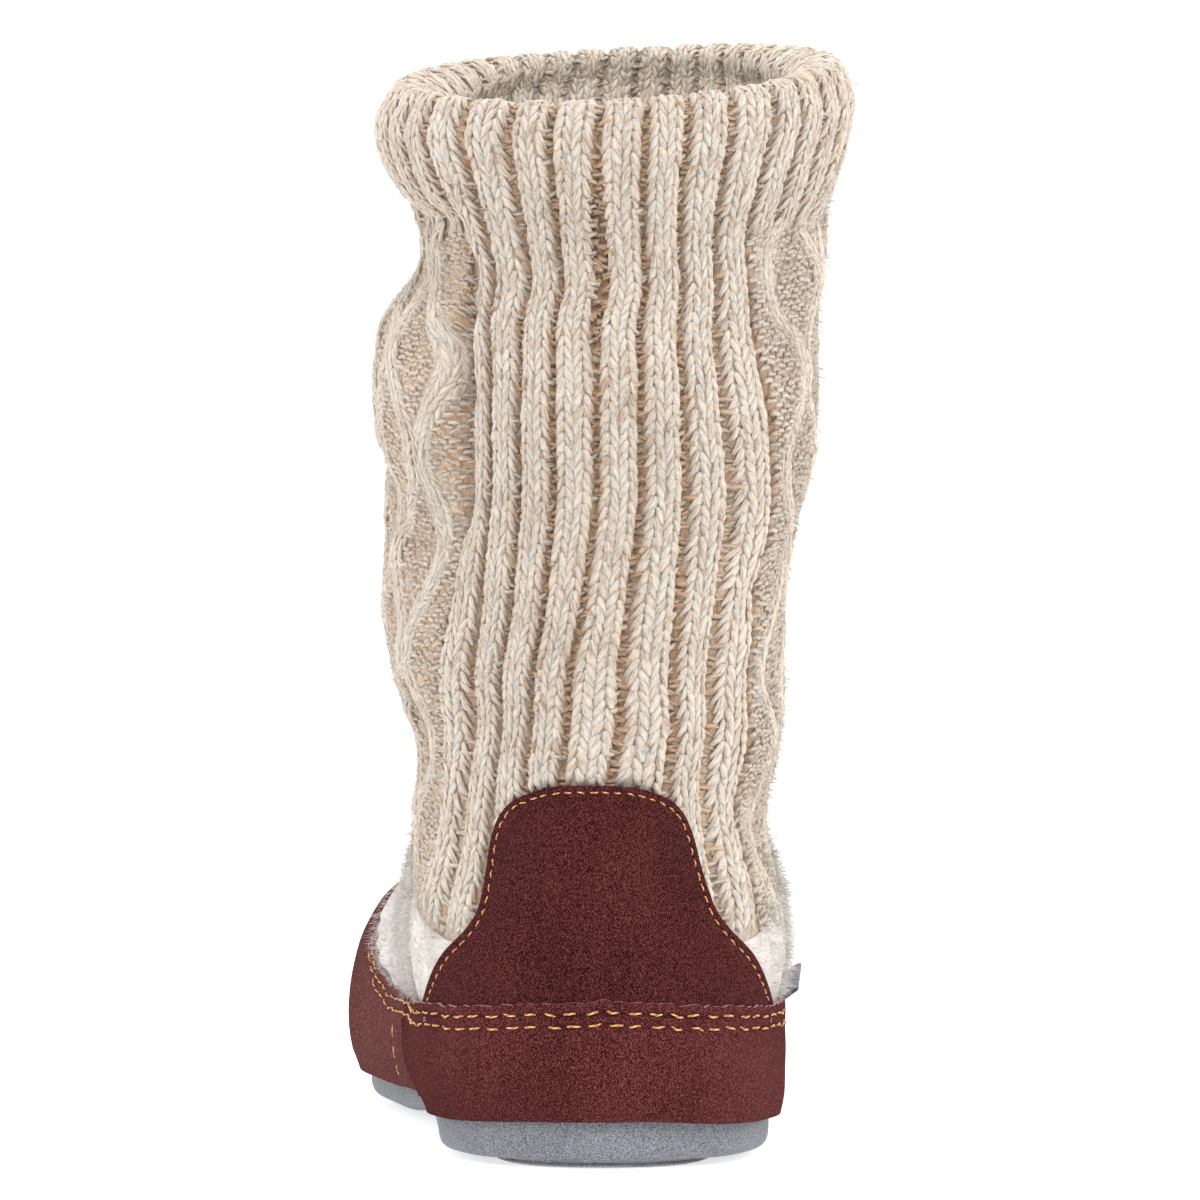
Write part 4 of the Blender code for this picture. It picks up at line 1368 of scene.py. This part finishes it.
COUNTER_COLUMNS, COUNTER_LOWER_ROWS = 240, 12
COUNTER_INSETS = np.array([0, .3, .7, 1.05, 1.3, 1.5, 1.7, 1.95, 2.3, 2.9, 3.6])
COUNTER_SEAM = 1.5      # mm from the edge to the stitches
UNDER_BAND = 2.6        # mm that the counter runs down behind the band
edge = smooth_edge(COUNTER_EDGE, COUNTER_COLUMNS)
edge_way = unit(np.gradient(edge, axis=0))
inward = np.stack([edge_way[:, 1], -edge_way[:, 0]], -1)
floor_height = np.interp(np.abs(edge[:, 0]), (0, 53), (36.0, 33.8)) - UNDER_BAND


def counter_point(column, inset):
    spot = edge[column] + inward[column] * inset[:, None]
    return spot[:, 0], np.maximum(spot[:, 1], floor_height[column])


def at_height(way, height):
    """`around` and the level for a way round from the heel and a height."""
    around = round_from_heel(way)
    return around, level_where(around, lambda point: point[..., 2] > height, LEVEL["tuck"], LEVEL["slouch"])


def counter_place(u, v):
    column = np.rint(u * (COUNTER_COLUMNS - 1)).astype(int)
    row = (1 - v) * (len(COUNTER_INSETS) - 1 + COUNTER_LOWER_ROWS)
    near = np.interp(row, np.arange(len(COUNTER_INSETS)), COUNTER_INSETS)
    way, height = counter_point(column, near)
    down = np.clip((row - len(COUNTER_INSETS) + 1) / COUNTER_LOWER_ROWS, 0, 1)
    height = mix(height, floor_height[column], down)
    around, level = at_height(way, height)
    groove = np.exp(-((near - COUNTER_SEAM) / 0.3) ** 2)
    spot = np.stack([way, height, 0 * way], -1)
    offset = SEAT + SUEDE + 0.25 - 0.35 * groove + 0.15 * waves(spot, (19.0, 41.0), 9)
    return skin(around, level, offset)


counter = solid_suede(grid_sheet("heel_counter_suede", COUNTER_COLUMNS - 1,
                                 len(COUNTER_INSETS) - 1 + COUNTER_LOWER_ROWS,
                                 counter_place, counter_suede, wrap=False))
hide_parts("heel_counter")

# %% [markdown]
# ## Stitching
# Each stitch is a short length of thick twisted thread that dives into the suede at both
# ends.  It is the same grain as a stitch leg, laid along the seam line.

# %% Rows of thread
THREAD = grain(8, 4)
THREAD_STEPS = THREAD[2]


def seam_row(name, line, normal, pitch, length, thick, seed):
    way = np.concatenate([[0], np.cumsum(np.linalg.norm(np.diff(line, axis=0), axis=-1))])
    starts = np.arange(pitch * 0.3, way[-1] - length, pitch)
    draw = np.random.default_rng(seed)
    starts = starts + draw.normal(0, 0.05 * pitch, len(starts))
    lengths = length * draw.uniform(0.9, 1.08, len(starts))
    at = starts[:, None] + lengths[:, None] * THREAD_STEPS
    path = np.stack([np.interp(at, way, line[:, k]) for k in range(3)], -1)
    up = unit(np.stack([np.interp(at, way, normal[:, k]) for k in range(3)], -1))
    t = 2 * THREAD_STEPS - 1
    drift = draw.normal(0, 0.12, (len(starts), 1)) * t
    side = unit(np.cross(up, unit(np.gradient(path, axis=1))))
    path = path + up * (0.16 - 0.62 * t ** 4)[None, :, None] + side * drift[..., None]
    piece = repeat(name, THREAD, path, up, thick, thick * 0.85, thread,
                   tone=draw.random(len(starts)), depth=np.full(len(starts), 0.5), seed=seed)


for side, rows in (("back", back_lines), ("front", front_lines)):
    for number, (line, normal) in enumerate(rows):
        seam_row(f"{side}_band_stitches_{number + 1}", line, normal, 4.75, 3.35, 0.25, 61 + number)
way, height = counter_point(np.arange(COUNTER_COLUMNS), np.full(COUNTER_COLUMNS, COUNTER_SEAM))
around, level = at_height(way, height)
shown = height > floor_height + UNDER_BAND + 0.2
counter_line = skin(around, level, SEAT + SUEDE + 0.12)[shown]
seam_row("counter_stitches", counter_line, skin_normal(around, level)[shown], 2.75, 1.95, 0.19, 71)

# %% [markdown]
# ## The sole
# A light moulded rubber unit with a pebbled wall, rounded lower edge, an arch, a raised
# toe and two worn tread pads.  Its loops are the sole outline at several insets.

# %% Sole unit and pads
SOLE_INSET = 3.9        # the wall stands this far inside the body's outline
HEEL_OUT = 0.9          # and this much less at the heel
SOLE_SHIFT = 1.2        # the heel's wall is moved to the inner side
SOLE_FLOOR = 1.6        # the underside between the pads
ARCH_RISE, ARCH_MIDDLE, ARCH_HALF = 2.4, 103.0, 28.0
# inset from the wall, and the share of the wall's height
SOLE_LOOPS = np.array([(26, 0), (16, 0), (7, 0), (2.9, .005), (2.1, .03), (1.4, .075), (.85, .135),
                       (.45, .21), (.2, .31), (.05, .43), (0, .58), (0, .78), (0, 1), (1.5, 1), (10, 1)])


def loop_values(v, loops):
    """The two columns of a table of loops at v, from its first row to its last."""
    return [np.interp(v, np.linspace(0, 1, len(loops)), loops[:, k]) for k in (0, 1)]


def sole_floor(y):
    arch = 0.5 * (1 + np.cos(math.pi * np.minimum(np.abs(y - ARCH_MIDDLE) / ARCH_HALF, 1)))
    return SOLE_FLOOR + toe_lift(y) + ARCH_RISE * arch


def inset_plan(around, inset):
    before, after = np.stack(plan(around - 0.004), -1), np.stack(plan(around + 0.004), -1)
    along = unit(after - before)
    x, y = plan(around)
    return x - along[..., 1] * inset, y + along[..., 0] * inset


def sole_place(u, v):
    around = even_round(u)
    inset, height = loop_values(v, SOLE_LOOPS)
    share = plan(around)[1] / LENGTH
    side = smooth(0.38, 0.58, share) * smooth(1.0, 0.8, share)
    inset = inset * mix(1.0, 2.1, side * smooth(7.0, 4.0, inset))
    x, y = inset_plan(around, inset + SOLE_INSET - HEEL_OUT * smooth(0.40, 0.22, share))
    x = x + SOLE_SHIFT * (1 - smooth(0.25, 0.55, y / LENGTH))
    return np.stack([x, y, mix(sole_floor(y), SOLE_TOP + sole_rise(y), height)], -1)


def rubber_finish(name, dark, pale, grain_size, depth):
    """A pebbled rubber whose wrinkles run along the wall."""
    material, tree, shader = new_finish(name, 0.5)
    place = object_place(tree)
    wrinkles = noise(tree, stretched(tree, place, (1.0, 1.0, 2.6)), grain_size, 1.0)
    specks = noise(tree, place, 4200.0, 0.0)
    clouds = noise(tree, place, 60.0, 3.0, 0.6)
    total = weighted(tree, (specks, 0.32), (wrinkles, 0.60), (clouds, 0.08))
    paint(tree, shader, ramp(tree, total, [(0.42, dark), (0.58, pale)]), total, 1.0, depth)
    return material


rubber = rubber_finish("pebbled_rubber", (.165, .178, .205), (.53, .557, .61), 2300.0, 0.0040)
# painted light: the pads' rubber is paler than the sole's, standing in for the light that the shade under
# the sole takes away
tread_rubber_painted_light = rubber_finish("tread_rubber_painted_light", (.36, .37, .395), (.78, .80, .83), 2200.0, 0.003)
sole = closed(grid_sheet("rubber_sole", 180, 48, sole_place, rubber, uv_scale=(60, 6)))
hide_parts("outsole")


# share of the pad's reach, and height over the ground
PAD_LOOPS = np.array([(0.97, SOLE_FLOOR + 1.0), (0.97, 1.8), (1.0, 1.55), (1.0, 1.15), (0.965, 1.0),
                      (0.965, 0.85), (0.99, 0.7), (0.985, 0.25), (0.95, 0.0), (0.45, 0.0), (0.02, 0.0)])


def tread_pad(name, centre_x, centre_y, half_x, half_y):
    """A worn pad: a rounded block with shallow bars across its underside."""
    def place(u, v):
        turn = 2 * math.pi * u
        sine, cosine = np.sin(turn), np.cos(turn)
        share, z = loop_values(v, PAD_LOOPS)
        x = centre_x + np.sign(sine) * np.abs(sine) ** 0.8 * half_x * share
        y = centre_y - np.sign(cosine) * np.abs(cosine) ** 0.8 * half_y * share
        z = z + 0.35 * (z < 0.1) * (0.5 + 0.5 * np.sin(y * 1.6)) * smooth(0.9, 0.8, share)
        return np.stack([x, y, z], -1)

    closed(grid_sheet(name, 90, 24, place, tread_rubber_painted_light, uv_scale=(20, 6)))


tread_pad("heel_tread", 0.6, 39.0, 24.0, 30.5)
tread_pad("forefoot_tread", -8.0, 163.0, 37.0, 31.0)

# %% [markdown]
# ## Insole
# The insole is a fleece-covered board that fills the foot's floor.  It shows only from
# above, deep inside the shaft.

# %% Insole
# inset from the foot's inner wall, and height over the sole
BED_LOOPS = np.array([(30, 0), (14, 0), (1, 0), (.4, .6), (0, 1.8),
                      (0, 3.7), (.35, 4.3), (1.2, 4.5), (14, 4.7), (30, 4.9)])


def bed_place(u, v):
    around = even_round(u)
    inset, lift = loop_values(v, BED_LOOPS)
    edge_point = body(around, LEVEL["feather"])
    inner = np.stack(inset_plan(around, FOOT_WALL + GAP + inset), -1)
    outline = np.stack(plan(around), -1)
    x, y = np.moveaxis(edge_point[..., :2] + inner - outline, -1, 0)
    fluff = 0.35 * waves(np.stack([x, y, 0 * x], -1), (4.0, 7.0), 15) * (lift > 4.4)
    return np.stack([x, y, SOLE_TOP + sole_rise(y) + GAP + lift + fluff], -1)


bed = closed(grid_sheet("fleece_insole", 110, 28, bed_place, fleece, uv_scale=(40, 8)))
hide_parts("footbed")

# %% [markdown]
# ## The side label
# A short grey ribbon is folded once and caught in the band's top edge on the inner side.
# It carries no mark: a fine woven texture is all it has.

# %% Folded ribbon
LABEL_WIDTH, LABEL_REACH = 9.0, 6.2
# out from the seam and back again, and the height over the ribbon's middle
FOLD_PATH = np.array([(-1.5, -.35), (1, -.45), (3, -.5), (5, -.45), (5.9, -.3), (LABEL_REACH, 0),
                      (5.9, .3), (5, .42), (3, .4), (1, .38), (-1.5, .3)])


def ribbon_finish():
    material, tree, shader = new_finish("woven_ribbon", 0.6, sheen=0.15)
    threads = [out(add(tree, "TexWave", {"bands_direction": way}, Vector=yarn_map(tree), Scale=6.0))
               for way in "XY"]
    total = maths(tree, "MULTIPLY", *threads)
    grey = ramp(tree, total, [(0.0, (.10, .103, .115)), (0.6, (.36, .37, .40))])
    paint(tree, shader, grey, total, 0.5, 0.0002)
    return material


label_level = float(top_of_band(np.array([right_seam]))[0])
label_root = skin(right_seam, label_level, SEAT + SUEDE + GAP)
LABEL_ALONG = unit(np.array([0.10, 0.80, 0.55]))       # the ribbon's width climbs towards the toe
LABEL_AWAY = unit(np.array([0.80, -0.20, 0.70]))
LABEL_FACE = unit(np.cross(LABEL_AWAY, LABEL_ALONG))


def label_place(u, v):
    reach, rise = np.moveaxis(catmull(FOLD_PATH, v * (len(FOLD_PATH) - 1)), -1, 0)
    along = (u - 0.5) * LABEL_WIDTH
    curl = -0.6 * (reach / LABEL_REACH) ** 2
    return (label_root + LABEL_AWAY * reach[:, None] + LABEL_ALONG * along[:, None]
            + LABEL_FACE * (rise + curl)[:, None] + np.array([0.3, 0.0, 0.4]))


label = grid_sheet("side_label_ribbon", 24, 40, label_place, ribbon_finish(), wrap=False, uv_scale=(10, 14))
thickener = label.modifiers.new("ply", "SOLIDIFY")
thickener.thickness = 0.35 * MM
thickener.offset = 0.0
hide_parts("side_label")

# %% [markdown]
# ## Stage, light and camera
# The boot stands on a pale floor that sweeps up behind it and glows a little, so that it
# stays nearly white.  A large soft light on the right and a weaker one on the left give
# the gentle fall of light across the ribs.  A third shines down from behind the heel,
# and a small one overhead lights the inside of the collar.

# %% Floor
floor_finish, tree, shader = new_finish("floor_paper", 0.9)
grain_of_paper = noise(tree, object_place(tree), 40.0)
paper = ramp(tree, grain_of_paper, [(0.0, (.80, .80, .80)), (1.0, (.82, .82, .82))])
tree.links.new(paper, shader.inputs["Base Color"])
shader.inputs["Emission Color"].default_value = (1, 1, 1, 1)
shader.inputs["Emission Strength"].default_value = 0.60
PAPER_START, PAPER_LENGTH, PAPER_HALF, PAPER_BACK = -6.6, 13.6, 12.0, 2.4   # metres
BEND_START, BEND_WAY = 4.0, 1.5         # the way along the paper where it curves upwards
BEND_RADIUS = BEND_WAY * 2 / math.pi
form = bmesh.new()
bmesh.ops.create_grid(form, x_segments=2, y_segments=40, size=1.0)
for vert in form.verts:
    way = (vert.co.y + 1) / 2 * PAPER_LENGTH + PAPER_START
    angle = min(max(way - BEND_START, 0.0) / BEND_WAY, 1.0) * math.pi / 2
    rise = max(way - BEND_START - BEND_WAY, 0.0)
    y = min(way, BEND_START) - PAPER_BACK + BEND_RADIUS * math.sin(angle)
    vert.co = (vert.co.x * PAPER_HALF, y, BEND_RADIUS * (1 - math.cos(angle)) + rise)
data = bpy.data.meshes.new("floor")
form.to_mesh(data)
form.free()
data.shade_smooth()
data.materials.append(floor_finish)
floor = bpy.data.objects.new("floor", data)
bpy.context.scene.collection.objects.link(floor)


# %% Lights
def soft_light(name, place, target, size, power, colour=(1, 1, 1)):
    data = bpy.data.lights.new(name, "AREA")
    data.shape = "RECTANGLE"
    data.size, data.size_y = size, size
    data.energy = power
    data.color = colour
    lamp = bpy.data.objects.new(name, data)
    lamp.location = place
    lamp.rotation_euler = (Vector(target) - Vector(place)).to_track_quat("-Z", "Y").to_euler()
    bpy.context.scene.collection.objects.link(lamp)


soft_light("key", (1.65, -0.8, 0.95), (0, 0, 0.12), 1.1, 17.5, (1.0, 0.985, 0.97))
soft_light("fill", (-1.6, -0.55, 0.5), (0, 0, 0.10), 1.2, 12.5, (0.97, 0.98, 1.0))
soft_light("top", (0.1, -1.25, 1.4), (0, 0, 0.18), 1.4, 17.0)
soft_light("overhead", (0, -0.15, 1.25), (0, 0.06, 0.24), 0.9, 7.0)
world = bpy.data.worlds.new("studio")
bpy.context.scene.world = world
world.use_nodes = True
world.node_tree.nodes["Background"].inputs["Color"].default_value = (1, 1, 1, 1)
world.node_tree.nodes["Background"].inputs["Strength"].default_value = 0.84

# %% Camera
CAMERA_HEIGHT, CAMERA_BACK, LENS = 0.1218, -1.242, 169.2
camera = bpy.data.objects.new("camera", bpy.data.cameras.new("camera"))
camera.location = (0.0, CAMERA_BACK, CAMERA_HEIGHT)
camera.rotation_euler = (math.radians(90), 0, 0)
camera.data.lens = LENS
camera.data.sensor_width = 36.0
camera.data.clip_end = 30.0
bpy.context.scene.collection.objects.link(camera)
bpy.context.scene.camera = camera
bpy.context.scene.view_settings.view_transform = "Standard"
